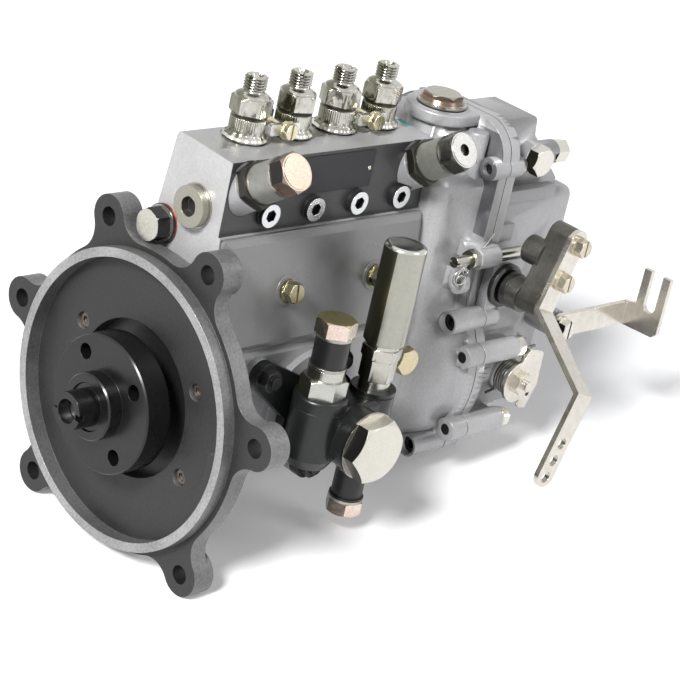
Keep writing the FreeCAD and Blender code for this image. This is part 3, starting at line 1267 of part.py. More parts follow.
def governor_cover():
    """Rear half of the governor: stepped upper box over a round lower end."""
    rim = governor_slab(GASKET_X, GASKET_X + 7)
    upper = plate_xz([(GASKET_X, 60), (GASKET_X, GOV_TOP_Z - 1), (COVER_UP_X, GOV_TOP_Z - 1),
                      (COVER_UP_X + 2, GOV_TOP_Z - 14), (COVER_UP_X + 26, COVER_LOW_TOP_Z + 4),
                      (COVER_UP_X + 26, 60)], -COVER_UP_HALF, COVER_UP_HALF)
    upper = rounded(upper, 5.0, lambda mid, tangent: abs(abs(mid.y) - COVER_UP_HALF) < 0.1
                    and mid.z > GOV_TOP_Z - 15 and mid.x > GASKET_X + 1)
    lower = box(GASKET_X, COVER_BACK_X, -COVER_LOW_HALF, COVER_LOW_HALF, 6, COVER_LOW_TOP_Z)
    lower = rounded(lower, 6.0, lambda mid, tangent: mid.x > GASKET_X + 1 and mid.z > 7)
    tail = revolved([(GASKET_X, 0), (GASKET_X, COVER_ROUND_R), (COVER_ROUND_X - 8, COVER_ROUND_R),
                     (COVER_ROUND_X - 2.4, COVER_ROUND_R - 2.4), (COVER_ROUND_X, COVER_ROUND_R - 8),
                     (COVER_ROUND_X, 0)], (0, 0, 0), X_AXIS)
    back = plate_xz([(COVER_ROUND_X - 10, -30), (COVER_ROUND_X, -30), (COVER_BACK_X, 8), (COVER_BACK_X, 20),
                     (COVER_ROUND_X - 10, 20)], -COVER_LOW_HALF + 6, COVER_LOW_HALF - 6)
    body = join(rim, upper, lower, tail, back)
    for y, z in both_sides(REAR_BOSSES):
        body = body.fuse(rod(GOV_BOSS_R, 30, (GASKET_X, y, z), X_AXIS))
        reach = COVER_LOW_HALF - 4
        body = body.fuse(box(GASKET_X, GASKET_X + 28, min(y, math.copysign(reach, y)),
                             max(y, math.copysign(reach, y)), z - 5, z + 5))
    for y, z in both_sides(FRONT_BOSSES + TOP_BOSSES):
        body = body.fuse(rod(GOV_BOSS_R, 11, (GASKET_X, y, z), X_AXIS))
    side = -COVER_LOW_HALF + 4
    bush_boss = rod(16.0, 52 + side, (LEVER_X, side, LEVER_Z), -Y_AXIS)
    bush_boss = bush_boss.common(box(GASKET_X, GASKET_X + 80, -80, 0, 0, 120))
    boss_root = box(GASKET_X, LEVER_X + 14, -52, side, LEVER_Z - 14, LEVER_Z + 16)
    stop_pad = box(STOP_X - 19, STOP_X + 17, STOP_PAD_Y + 4, -36, STOP_Z - 19, STOP_Z + 18)
    stop_boss = rod(11, -36 - STOP_PAD_Y, (STOP_X, -36, STOP_Z), -Y_AXIS)
    rib = box(GASKET_X, COVER_BACK_X - 22, -COVER_LOW_HALF - 2.5, side, 102, 109)
    pad = box(GASKET_X, GASKET_X + 17, -COVER_LOW_HALF - 3.5, side, 80, 90)
    bolt_boss = rod(8.5, 8, (230, -COVER_UP_HALF + 1, 126), -Y_AXIS)
    cap_boss = rod(7.0, 19, (COVER_UP_X - 1, -COVER_UP_HALF + 2, 124.5), X_AXIS)
    bracket_boss = rod(8, 59 + side, (264, side, BRACKET_Z), -Y_AXIS)
    body = join(body, bush_boss, boss_root, stop_pad, stop_boss, rib, pad)
    body = join(body, bolt_boss, cap_boss, bracket_boss)
    wall = GOV_WALL
    tools = [rod(COVER_ROUND_R - wall, COVER_ROUND_X - wall - GASKET_X + 1, (GASKET_X - 1, 0, 0), X_AXIS)]
    tools.append(box(GASKET_X - 1, COVER_BACK_X - wall, -COVER_LOW_HALF + wall, COVER_LOW_HALF - wall,
                     12, COVER_LOW_TOP_Z - wall))
    tools.append(box(GASKET_X - 1, COVER_UP_X - wall, -COVER_UP_HALF + wall, COVER_UP_HALF - wall,
                     90, GOV_TOP_Z - 1 - wall))
    for y, z in both_sides(FRONT_BOSSES + REAR_BOSSES + TOP_BOSSES):
        tools.append(rod(3.2, 60, (GASKET_X - 2, y, z), X_AXIS))
    tools.append(rod(9.05, 40, (LEVER_X, -20, LEVER_Z), -Y_AXIS))
    tools.append(rod(5.05, 40, (STOP_X, -20, STOP_Z), -Y_AXIS))
    tools.append(rod(3.0, 12, (264, -49, BRACKET_Z), -Y_AXIS))
    y, z = stop_screw_place()
    tools.append(rod(4.0, 30, (GASKET_X - 1, y, z), X_AXIS))
    return less(body.removeSplitter(), *tools)


def governor_screws():
    """Screws of the joint between the two governor halves, and cover bolts."""
    solids = []
    for y, z in both_sides(FRONT_BOSSES):
        screw = rod(5.0, 6, (GASKET_X - GASKET - 21, y, z), X_AXIS)
        screw = screw.fuse(rod(3.1, 30, (GASKET_X - GASKET - 21, y, z), X_AXIS))
        socket = hexagon(5, 3.2, (GASKET_X - GASKET - 21 + 3, y, z), -X_AXIS)
        solids.append(less(screw, socket))
    for y, z in both_sides(REAR_BOSSES):
        solids.append(join(hexagon(10, 6, (GASKET_X + 31.5, y, z), X_AXIS, 10),
                           rod(6.2, 1.5, (GASKET_X + 30, y, z), X_AXIS),
                           rod(3.1, 44, (GASKET_X - 12, y, z), X_AXIS)))
    for y, z in both_sides(TOP_BOSSES):
        solids.append(join(hexagon(8, 5, (GASKET_X + 11, y, z), X_AXIS, 0),
                           rod(3.1, 21, (GASKET_X - 10, y, z), X_AXIS)))
    solids.append(hexagon(15, 7, (230, -COVER_UP_HALF - 7, 126), -Y_AXIS, 15))
    solids.append(hexagon(12, 9.5, (COVER_UP_X + 18, -COVER_UP_HALF + 2, 124.5), X_AXIS, 15))
    return Part.makeCompound(solids)


def filler_plug():
    body = rod(FILLER_R + 1.2, 2.2, (FILLER_X, FILLER_Y, GOV_TOP_Z))
    body = body.fuse(cone(FILLER_R, FILLER_R - 1.2, 2.4, (FILLER_X, FILLER_Y, GOV_TOP_Z + 2.2)))
    body = body.fuse(hexagon(FILLER_HEX, 4.8, (FILLER_X, FILLER_Y, GOV_TOP_Z + 2.2), Z_AXIS, 12))
    body = body.fuse(rod(8.2, 12, (FILLER_X, FILLER_Y, GOV_TOP_Z - 12)))
    return body.removeSplitter()


def lever_bush():
    bush = revolved([(36, 6.05), (36, 9.0), (52, 9.0), (52, 12.6), (54.6, 12.6), (56, 11.4),
                     (56, 6.05)], (LEVER_X, 0, LEVER_Z), -Y_AXIS)
    return bush


def lever_shaft():
    shaft = rod(LEVER_SHAFT_R, -ARM_BACK_Y + 2 - 24, (LEVER_X, -24, LEVER_Z), -Y_AXIS)
    crank = box(LEVER_X - 5, LEVER_X + 5, -31, -24, LEVER_Z - 22, LEVER_Z)
    crank = rounded(crank, 3.0, lambda mid, tangent: abs(tangent.y) > 0.99)
    collar = rod(10.0, 3.5, (LEVER_X, -57.5, LEVER_Z), -Y_AXIS)
    return join(shaft, crank, collar)


def lean_point(distance, across=0.0):
    """Point on the control lever's centre line, seen in the XZ plane."""
    lean = math.radians(LEVER_LEAN)
    x = LEVER_X + distance * math.sin(lean) + across * math.cos(lean)
    z = LEVER_Z + distance * math.cos(lean) - across * math.sin(lean)
    return x, z


def lean_bar(low, high, width, y0, y1):
    corners = [(low, -width / 2), (high, -width / 2), (high, width / 2), (low, width / 2)]
    return plate_xz([lean_point(d, a) for d, a in corners], y0, y1)


def control_arm():
    """Forged arm clamped on the lever shaft, with a boss on its back."""
    thick = ARM_BACK_Y - ARM_FRONT_Y
    half = ARM_WIDTH / 2
    arm = lean_bar(0, ARM_TOP - half, ARM_WIDTH, ARM_BACK_Y, ARM_FRONT_Y)
    for distance in (0, ARM_TOP - half):
        x, z = lean_point(distance)
        arm = arm.fuse(rod(half, thick, (x, ARM_BACK_Y, z), -Y_AXIS))
    hub_x, hub_z = lean_point(0)
    arm = arm.fuse(rod(9.5, 8, (hub_x, ARM_BACK_Y + 8, hub_z), -Y_AXIS))
    x, z = lean_point(25.0, -3.0)
    arm = arm.fuse(rod(8.0, 12, (x, ARM_BACK_Y + 9, z), -Y_AXIS)).removeSplitter()
    tools = [rod(LEVER_SHAFT_R, 30, (LEVER_X, -55, LEVER_Z), -Y_AXIS).common(
        box(LEVER_X - 20, LEVER_X + 20, ARM_BACK_Y - 2, -50, LEVER_Z - 20, LEVER_Z + 20))]
    for distance in LEVER_SCREWS:
        x, z = lean_point(distance)
        tools.append(rod(2.6, 9, (x, ARM_FRONT_Y - 1, z), Y_AXIS))
    return less(arm, *tools)


def control_lever():
    """Strap lever, twice bent, with a row of three rod holes."""
    top_y = ARM_FRONT_Y
    low_y = ARM_FRONT_Y - STRAP_OFFSET
    half = STRAP_WIDTH / 2
    upper = lean_bar(-STRAP_BEND_1, ARM_TOP - half, STRAP_WIDTH, top_y, top_y - STRAP)
    lower = lean_bar(-STRAP_END + half, -STRAP_BEND_2, STRAP_WIDTH, low_y, low_y - STRAP)
    drop = STRAP_BEND_2 - STRAP_BEND_1
    lean = math.radians(LEVER_LEAN)

    def spot(distance, across, y):
        x, z = lean_point(distance, across)
        return V(x, y, z)

    tan_half = math.tan(math.atan2(STRAP_OFFSET, drop) / 2)
    inner = STRAP * tan_half
    section = [(-STRAP_BEND_1, top_y), (-STRAP_BEND_2 - inner, low_y),
               (-STRAP_BEND_2, low_y - STRAP), (-STRAP_BEND_1 + inner, top_y - STRAP)]
    corners = [spot(d, -half, y) for d, y in section]
    slab = Part.Face(Part.makePolygon(corners + corners[:1]))
    slab = slab.extrude(V(STRAP_WIDTH * math.cos(lean), 0, -STRAP_WIDTH * math.sin(lean)))
    ends = []
    x, z = lean_point(ARM_TOP - half)
    ends.append(rod(half, STRAP, (x, top_y, z), -Y_AXIS))
    x, z = lean_point(-STRAP_END + half)
    ends.append(rod(half, STRAP, (x, low_y, z), -Y_AXIS))
    body = join(upper, lower, slab, *ends)
    tools = []
    for distance in STRAP_HOLES:
        x, z = lean_point(-distance)
        tools.append(rod(STRAP_HOLE_R, STRAP + 2, (x, low_y + 1, z), -Y_AXIS))
    for distance in LEVER_SCREWS:
        x, z = lean_point(distance)
        tools.append(rod(2.6, STRAP + 2, (x, top_y + 1, z), -Y_AXIS))
    return less(body, *tools)


def lever_screws():
    solids = []
    seat = ARM_FRONT_Y - STRAP
    for distance in LEVER_SCREWS:
        x, z = lean_point(distance)
        solids += slotted_hex_screw(9, 5.0, 2.55, 9, (x, seat, z), -Y_AXIS, 12)
    return Part.makeCompound(solids)


def stop_lever():
    """Stop lever plate on its shaft, held by a slotted nut."""
    disc = rod(12.5, 2.2, (STOP_X, STOP_PLATE_Y, STOP_Z), -Y_AXIS)
    tab = plate_xz([(STOP_X - 2, STOP_Z + 11), (STOP_X + 4, STOP_Z + 19), (STOP_X + 16, STOP_Z + 16),
                    (STOP_X + 17, STOP_Z - 4), (STOP_X + 11, STOP_Z - 18), (STOP_X + 5, STOP_Z - 17),
                    (STOP_X + 4, STOP_Z - 11)], STOP_PLATE_Y, STOP_PLATE_Y - 2.2)
    plate = disc.fuse(tab).removeSplitter()
    plate = less(plate, rod(4.95, 8, (STOP_X, STOP_PLATE_Y + 1, STOP_Z), -Y_AXIS),
                 rod(1.6, 8, (STOP_X + 10, STOP_PLATE_Y + 1, STOP_Z - 9), -Y_AXIS))
    shaft = rod(4.95, -STOP_PLATE_Y + 2.2 + 4.5 - 26, (STOP_X, -26, STOP_Z), -Y_AXIS)
    shaft = shaft.fuse(rod(3.0, 3.0, (STOP_X, STOP_PLATE_Y - 6.7, STOP_Z), -Y_AXIS))
    nut_y = STOP_PLATE_Y - 2.2
    nut = hexagon(12, 4.4, (STOP_X, nut_y, STOP_Z), -Y_AXIS, 15).cut(
        rod(4.95, 8, (STOP_X, nut_y + 1, STOP_Z), -Y_AXIS))
    return Part.makeCompound([plate, shaft, nut])


def stop_spring():
    """Torsion spring wound round the stop shaft boss."""
    turns = []
    for i in range(4):
        turns.append(Part.makeTorus(9.6, 0.85, V(STOP_X, STOP_PAD_Y - 1.2 - 1.9 * i, STOP_Z), Y_AXIS))
    for i in range(3):
        turns.append(rod(0.7, 1.9, (STOP_X + 9.6, STOP_PAD_Y - 1.2 - 1.9 * i, STOP_Z), -Y_AXIS))
    leg = rod(0.85, 14, (STOP_X + 2, STOP_PAD_Y - 1.2 - 1.9 * 3, STOP_Z + 9.4), V(0.35, 0, 1).normalize())
    turns.append(leg)
    return turns[0].multiFuse(turns[1:])


def cable_bracket():
    """Sheet strap bent into a fork plate that holds a cable."""
    z0 = BRACKET_Z - BRACKET_H / 2
    z1 = BRACKET_Z + BRACKET_H / 2
    strap = box(BRACKET_X0 + 8, BRACKET_X1, BRACKET_Y, BRACKET_Y - BRACKET_T, z0, z1)
    strap = strap.fuse(rod(BRACKET_H / 2, BRACKET_T, (BRACKET_X0 + 8, BRACKET_Y, BRACKET_Z), -Y_AXIS))
    fork_y1 = BRACKET_Y - 28
    fork = plate_yz([(BRACKET_Y, z0), (BRACKET_Y, z1), (BRACKET_Y - 9, z1 + 2), (BRACKET_Y - 9, z1 + 24),
                     (fork_y1, z1 + 24), (fork_y1, z0 + 4), (fork_y1 + 3, z0 + 1)],
                    BRACKET_X1, BRACKET_X1 + BRACKET_T)
    slot_y = (BRACKET_Y - 9 + fork_y1) / 2
    slot_z = BRACKET_Z + 11
    slot = box(BRACKET_X1 - 1, BRACKET_X1 + BRACKET_T + 1, slot_y - 4.2, slot_y + 4.2, slot_z, z1 + 30)
    slot = slot.fuse(rod(4.2, BRACKET_T + 2, (BRACKET_X1 - 1, slot_y, slot_z), X_AXIS))
    hole = rod(3.2, BRACKET_T + 2, (BRACKET_X0 + 8, BRACKET_Y + 1, BRACKET_Z), -Y_AXIS)
    return less(strap.fuse(fork).removeSplitter(), slot, hole)


def bracket_screw():
    solids = slotted_hex_screw(10, 5.0, 2.95, 10, (BRACKET_X0 + 8, BRACKET_Y - BRACKET_T, BRACKET_Z), -Y_AXIS, 20)
    return Part.makeCompound(solids)


def flyweight_carrier():
    """Carrier on the shaft end with two forks that hold the flyweights."""
    hub = rod(13, 7, (CARRIER_X, 0, 0), X_AXIS)
    hub = hub.cut(rod(7.02, 20, (CARRIER_X - 5, 0, 0), X_AXIS))
    arms = []
    for side in (1, -1):
        for y0, y1 in ((-12, -8), (8, 12)):
            arms.append(box(CARRIER_X, WEIGHT_PIVOT_X + 4, y0, y1, side * 17, side * (WEIGHT_PIVOT_R + 4)))
    web = box(CARRIER_X, CARRIER_X + 4, -12, 12, -WEIGHT_PIVOT_R, WEIGHT_PIVOT_R)
    web = web.cut(rod(10, 20, (CARRIER_X - 5, 0, 0), X_AXIS))
    body = join(hub, web, *arms)
    body = less(body, rod(7.02, 20, (CARRIER_X - 5, 0, 0), X_AXIS))
    pins = []
    for side in (1, -1):
        pins.append(rod(2.45, 26, (WEIGHT_PIVOT_X, -13, side * WEIGHT_PIVOT_R), Y_AXIS))
        body = less(body, rod(2.5, 40, (WEIGHT_PIVOT_X, -20, side * WEIGHT_PIVOT_R), Y_AXIS))
    return Part.makeCompound([body] + pins)


def flyweight(side):
    x = WEIGHT_PIVOT_X
    r = WEIGHT_PIVOT_R
    mass = box(x - 4, x + 16, -7.6, 7.6, r + 2, r + 11)
    mass = rounded(mass, 3.0, lambda mid, tangent: abs(tangent.y) > 0.99)
    eye = rod(5.0, 15.2, (x, -7.6, r), Y_AXIS)
    toe = box(x - 2.5, x + 2.5, -5, 5, WEIGHT_TOE_R, r)
    foot = rod(2.5, 10, (x, -5, WEIGHT_TOE_R), Y_AXIS)
    body = join(mass, eye, toe, foot)
    body = less(body, rod(2.5, 40, (x, -20, r), Y_AXIS))
    return body if side > 0 else body.mirror(V(0, 0, 0), Z_AXIS)


def sleeve_face_x():
    return WEIGHT_PIVOT_X + 2.5 + CLEAR


def governor_sleeve():
    face = sleeve_face_x()
    body = rod(15.0, 3.5, (face, 0, 0), X_AXIS)
    body = body.fuse(rod(8.0, 26, (face, 0, 0), X_AXIS))
    return body.removeSplitter()


def governor_spring():
    seat_x = COVER_ROUND_X - GOV_WALL - 3
    spring = coil(9.0, 1.2, -26 - 1.2 - CLEAR, -1.2 - CLEAR, 5, (0, 0))
    spring.rotate(V(0, 0, 0), Y_AXIS, 90)
    spring.translate(V(seat_x, 0, 0))
    seat = rod(12.0, 3.0, (seat_x, 0, 0), X_AXIS)
    post = rod(7.4, 24, (seat_x - 24, 0, 0), X_AXIS)
    return Part.makeCompound([spring, join(seat, post)])


def group(*shapes):
    solids = []
    for shape in shapes:
        solids += shape.Solids
    return Part.makeCompound(solids)


def nodes():
    parts = {
        "mounting_flange": mounting_flange(),
        "flange_screws": flange_screws(),
        "pump_housing": pump_housing(),
        "side_cover": side_cover(),
        "gaskets": gaskets(),
        "side_cover_screws": side_cover_screws(),
        "delivery_valve_holders": delivery_valve_holders(),
        "delivery_valves": delivery_valves(),
        "clamp_plates": clamp_plates(),
        "clamp_screws": clamp_screws(),
        "plunger_barrels": plunger_barrels(),
        "plunger_springs": plunger_springs(),
        "roller_tappets": roller_tappets(),
        "barrel_screws": barrel_screws(),
        "inlet_fitting": fuel_fitting(FITTING_X[0], False),
        "overflow_valve": fuel_fitting(FITTING_X[1], True),
        "union_adapters": group(fitting_nuts(), feed_inlet_adapter()),
        "union_sleeves": group(fitting_sleeves(), feed_pump_sleeves()),
        "sealing_washers": sealing_washers(),
        "gallery_plug": gallery_plug(),
        "rack_cap": rack_cap(),
        "nameplate": nameplate(),
        "oil_level_plug": oil_level_plug(),
        "bearing_outer_rings": bearing_outer_rings(),
        "bearing_inner_rings": bearing_inner_rings(),
        "shaft_seal": shaft_seal(),
        "camshaft": camshaft(),
        "drive_hub": drive_hub(),
        "hub_nut": hub_nut(),
        "control_rack": control_rack(),
        "feed_pump_body": feed_pump_body(),
        "feed_pump_nuts": feed_pump_nuts(),
        "feed_pump_plug": feed_pump_plug(),
        "feed_pump_piston": feed_piston(),
        "feed_pump_spring": feed_spring(),
        "feed_pump_bolts": feed_pump_bolts(),
        "primer_barrel": primer_barrel(),
        "primer_handle": primer_handle(),
        "governor_housing": governor_housing(),
        "governor_cover": governor_cover(),
        "governor_screws": group(governor_screws(), bracket_screw()),
        "stop_screw": stop_screw(),
        "filler_plug": filler_plug(),
        "flyweight_carrier": flyweight_carrier(),
        "flyweight_1": flyweight(1),
        "flyweight_2": flyweight(-1),
        "governor_sleeve": governor_sleeve(),
        "governor_spring": governor_spring(),
        "lever_bush": lever_bush(),
        "lever_shaft": lever_shaft(),
        "control_arm": control_arm(),
        "control_lever": control_lever(),
        "lever_screws": lever_screws(),
        "stop_lever": stop_lever(),
        "stop_spring": stop_spring(),
        "cable_bracket": cable_bracket(),
    }
    for number, x in enumerate(PUMP_X, 1):
        parts["pump_element_%d" % number] = pump_element(x)
    return parts


os.makedirs("parts", exist_ok=True)
for name, shape in nodes().items():
    shape.exportStep("parts/%s.step" % name)
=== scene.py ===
import bmesh
import bpy
import json
import math
from mathutils import Matrix, Vector


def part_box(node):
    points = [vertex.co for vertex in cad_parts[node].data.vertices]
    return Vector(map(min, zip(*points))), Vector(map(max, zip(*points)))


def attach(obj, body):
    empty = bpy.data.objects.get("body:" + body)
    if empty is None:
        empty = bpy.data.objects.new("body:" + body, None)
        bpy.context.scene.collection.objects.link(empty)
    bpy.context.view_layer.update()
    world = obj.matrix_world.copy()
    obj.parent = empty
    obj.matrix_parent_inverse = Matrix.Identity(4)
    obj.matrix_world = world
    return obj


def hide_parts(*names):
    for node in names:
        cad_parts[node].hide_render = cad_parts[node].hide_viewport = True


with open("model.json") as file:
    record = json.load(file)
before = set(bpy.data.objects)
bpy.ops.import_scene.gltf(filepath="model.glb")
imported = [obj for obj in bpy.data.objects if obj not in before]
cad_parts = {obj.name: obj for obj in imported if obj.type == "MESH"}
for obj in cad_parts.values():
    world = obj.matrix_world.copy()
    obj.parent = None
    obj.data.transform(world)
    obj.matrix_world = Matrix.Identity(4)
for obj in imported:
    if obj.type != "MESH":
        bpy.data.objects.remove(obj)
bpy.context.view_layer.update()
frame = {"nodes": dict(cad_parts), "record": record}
nodes = frame["nodes"]
slot_of = {s["node"]: s["material_slot"] for s in frame["record"]["subparts"]}
groups = frame["record"]["behaviour"]["bodies"]
body_of = {node: body for body, members in groups.items() for node in members}

# Lengths below are in millimetres, except where they say metres
MM = 0.001
SHARP = 30.0

# Mounting flange: holes of the six ears
EAR_ANGLES = [24.0, 80.0, 140.0]
EAR_CIRCLE_R = 93.4

# Delivery valve holders
HOLDER_PITCH = 32.0
HOLDER_X = [46.0 + HOLDER_PITCH * i for i in range(4)]
HOLDER_TURNS = [0.25, 0.75, 0.05, 0.5]
HOLDER_SEAT = 138.8
HOLDER_TOP = 172.0
HOLDER_THREAD = 7.5
HOLDER_SHOULDER = 3.5
HOLDER_HEX_LEN = 9.5
HOLDER_HEX = 19.0
THREAD_PITCH = 1.5
THREAD_R = 6.05
THREAD_DEPTH = 0.85
THREAD_START = 0.3
THREAD_STEPS = 6
SLOT_DEPTH = 2.2
SLOT_HALF = 1.1
SCALLOPS = 12
KNURL_R = 9.5
KNURL_DEPTH = 0.3
KNURLS = 48

# Governor housing and cover, filler lip
GOV_TOP = 147.0
RIM_FRONT_X = 198.0
COVER_FRONT_X = 208.0
RIM_BACK_X = 212.0
FAR_CORNER = (9.5, 111.0)
FAR_CORNER_R = 36.0
COVER_UP_X = 236.0
COVER_STEP_Z = 105.0
COVER_WALL_Y = -4.5
FAR_BOSS = (41.0, 123.0)
FAR_BOSS_R = 6.5
FAR_BOSS_X = 216.0
FILLER = (187.0, -4.0)
FILLER_LIP_R = 19.5
FILLER_LIP_HIGH = 6.5
NEAR_POST = (193.0, -29.0)
NEAR_POST_R = 6.0

# Stop lever's torsion spring, and the lock wires
STOP_AXIS = (241.0, -3.0)
STOP_COIL_Y = -51.0
STOP_COIL_R = 9.6
STOP_COIL_TURNS = 3.9
STOP_COIL_PITCH = 1.75
STOP_COIL_START = -2.2
COIL_STEPS = 16
SPRING_WIRE_R = 0.85
LOCK_WIRE_R = 0.45

# Hand primer and the feed pump's inlet chamber
PRIMER = (117.0, -60.0)
PRIMER_FOOT = 15.6
PRIMER_SKIRT = 42.0
PRIMER_TOP = 97.0
PRIMER_R = 11.4
PRIMER_TURN = 0.35
INLET_CHAMBER = (77.0, -60.0)
INLET_CHAMBER_TOP = 18.5

# End cap of the control rack, rivets of the nameplate
RACK = (14.0, 90.0)
RACK_FACE_X = 14.5
RACK_CAP_TURN = 0.17
RIVET_INSET = 2.6
RIVET_SIDES = 24
RIVET_DOME = [(0.0, 1.35), (0.25, 1.3), (0.55, 1.0), (0.75, 0.55), (0.8, 0.0)]

# Directions that a face can look in
UNION_TILT = math.radians(35.0)
FACING = {
    "toward_flange": (-1, 0, 0),
    "up": (0, 0, 1),
    "outer_left": (-0.71, 0.70, 0),
    "union_face": (0, -math.cos(UNION_TILT), math.sin(UNION_TILT)),
}

# Finish of all metals: middle part of the noise, spread of the roughness, depth of the grain (m)
NOISE_LOW = 0.3
NOISE_HIGH = 0.7
ROUGH_SPREAD = 0.1
ROUGH_LEAST = 0.05
BROAD_SCALE = 35.0
BLOT_SCALE = 60.0
GRAIN_DEPTH = 0.0002
WHITE = (1, 1, 1, 1)

# Camera: the photograph's viewing angle (m)
LENS = 132.353
CAMERA_AT = (-0.818693, -0.824827, 0.535401)
CAMERA_RIGHT = (0.69549658, -0.68887082, 0.20430737)
CAMERA_UP = (0.14065903, 0.40936985, 0.90146068)
CAMERA_BACK = (-0.70462723, -0.59822515, 0.38161123)

# Floor: it touches the flange's foot and, further back, the governor's foot (m)
FLOOR_SIZE = 8.0
FLOOR_Z = -0.0838
FLANGE_FOOT = 0.0836
REAR_FOOT = 0.0585
FEET_APART = 0.21
FLOOR_COLOUR = (0.86, 0.86, 0.87, 1)
FLOOR_LIFT = 0.2

# Light: white surroundings, a wide sun from the left and a small lamp at the right (m, W)
SKY_COLOUR = (0.55, 0.56, 0.58, 1)
SKY_STRENGTH = 0.28
SUN_STRENGTH = 4.4
SUN_WIDTH = 16
SUN_AIM = (1.27, 0.30, -1.03)
LAMP_AT = (0.55, -0.9, 0.9)
LAMP_TARGET = (0.18, 0, 0.03)
LAMP_SIZE = 0.4
LAMP_POWER = 3


def make_camera():
    data = bpy.data.cameras.new("camera")
    data.lens = LENS
    data.sensor_width = 36.0
    data.clip_start = 0.05
    data.clip_end = 20.0
    cam = bpy.data.objects.new("camera", data)
    bpy.context.scene.collection.objects.link(cam)
    axes = [Vector(axis) for axis in (CAMERA_RIGHT, CAMERA_UP, CAMERA_BACK)]
    spin = Matrix(axes).transposed().to_4x4()
    cam.matrix_world = Matrix.Translation(Vector(CAMERA_AT)) @ spin
    bpy.context.scene.camera = cam


class Nodes:
    """Small helper for the node tree of a material or of the world."""

    def __init__(self, owner):
        owner.use_nodes = True
        self.tree = owner.node_tree
        self.where = None

    def add(self, kind, **values):
        node = self.tree.nodes.new(kind)
        for key, value in values.items():
            if key.startswith("in_"):
                node.inputs[key[3:].replace("_", " ")].default_value = value
            else:
                setattr(node, key, value)
        return node

    def feed(self, value, socket):
        """Link an output to the socket, or give the socket a plain value."""
        if hasattr(value, "is_linked"):
            self.tree.links.new(value, socket)
        else:
            socket.default_value = value

    def place(self):
        if self.where is None:
            self.where = self.add("ShaderNodeTexCoord").outputs["Object"]
        return self.where

    def math(self, operation, a, b):
        node = self.add("ShaderNodeMath", operation=operation)
        self.feed(a, node.inputs[0])
        self.feed(b, node.inputs[1])
        return node.outputs[0]

    def length(self, a, b):
        """Long side of a right triangle with the short sides a and b."""
        total = self.math("ADD", self.math("MULTIPLY", a, a), self.math("MULTIPLY", b, b))
        return self.math("SQRT", total, 0.0)

    def noise(self, scale, detail, roughness):
        node = self.add("ShaderNodeTexNoise", in_Scale=scale, in_Detail=detail,
                        in_Roughness=roughness)
        self.feed(self.place(), node.inputs["Vector"])
        return node.outputs["Fac"]

    def remap(self, value, from_low, from_high, to_low, to_high):
        node = self.add("ShaderNodeMapRange", in_From_Min=from_low, in_From_Max=from_high,
                        in_To_Min=to_low, in_To_Max=to_high)
        self.feed(value, node.inputs["Value"])
        return node.outputs["Result"]

    def blend(self, mask, under, over, kind="RGBA", **values):
        node = self.add("ShaderNodeMix", data_type=kind, **values)
        first, result = (6, 2) if kind == "RGBA" else (2, 0)
        self.feed(mask, node.inputs[0])
        self.feed(under, node.inputs[first])
        self.feed(over, node.inputs[first + 1])
        return node.outputs[result]

    def zone(self, limits):
        """Mask that is 1 where every value named in limits lies between its two numbers.

        X, Y, Z: place. R: distance from the shaft's axis. EAR_HOLES: distance from the nearest ear
        hole of the flange. A key of FACING: how far the face looks that way, from -1 to 1.
        """
        split = self.add("ShaderNodeSeparateXYZ")
        self.feed(self.place(), split.inputs[0])
        mask = None
        for key, (low, high) in limits.items():
            if key in FACING:
                dot = self.add("ShaderNodeVectorMath", operation="DOT_PRODUCT")
                self.feed(self.add("ShaderNodeNewGeometry").outputs["True Normal"], dot.inputs[0])
                self.feed(FACING[key], dot.inputs[1])
                value = dot.outputs["Value"]
            else:
                low, high = low * MM, high * MM
                if key == "R":
                    value = self.length(split.outputs["Y"], split.outputs["Z"])
                elif key == "EAR_HOLES":
                    value = self.nearest_ear(split)
                else:
                    value = split.outputs[key]
            inside = self.math("MULTIPLY", self.math("GREATER_THAN", value, low),
                               self.math("LESS_THAN", value, high))
            mask = inside if mask is None else self.math("MULTIPLY", mask, inside)
        return mask

    def nearest_ear(self, split):
        """Distance from the axis of the nearest ear hole of the flange."""
        nearest = None
        for angle in EAR_ANGLES:
            for side in (1, -1):
                y = -side * EAR_CIRCLE_R * math.sin(math.radians(angle)) * MM
                z = EAR_CIRCLE_R * math.cos(math.radians(angle)) * MM
                reach = self.length(self.math("SUBTRACT", split.outputs["Y"], y),
                                    self.math("SUBTRACT", split.outputs["Z"], z))
                nearest = reach if nearest is None else self.math("MINIMUM", nearest, reach)
        return nearest

    def backdrop(self):
        """1 for rays that show the surroundings: straight, in a reflection or through glass."""
        path = self.add("ShaderNodeLightPath")
        seen = self.math("MAXIMUM", path.outputs["Is Camera Ray"], path.outputs["Is Glossy Ray"])
        return self.math("MAXIMUM", seen, path.outputs["Is Transmission Ray"])


def rgb(c, k=1.0):
    return (c[0] * k, c[1] * k, c[2] * k, 1.0)


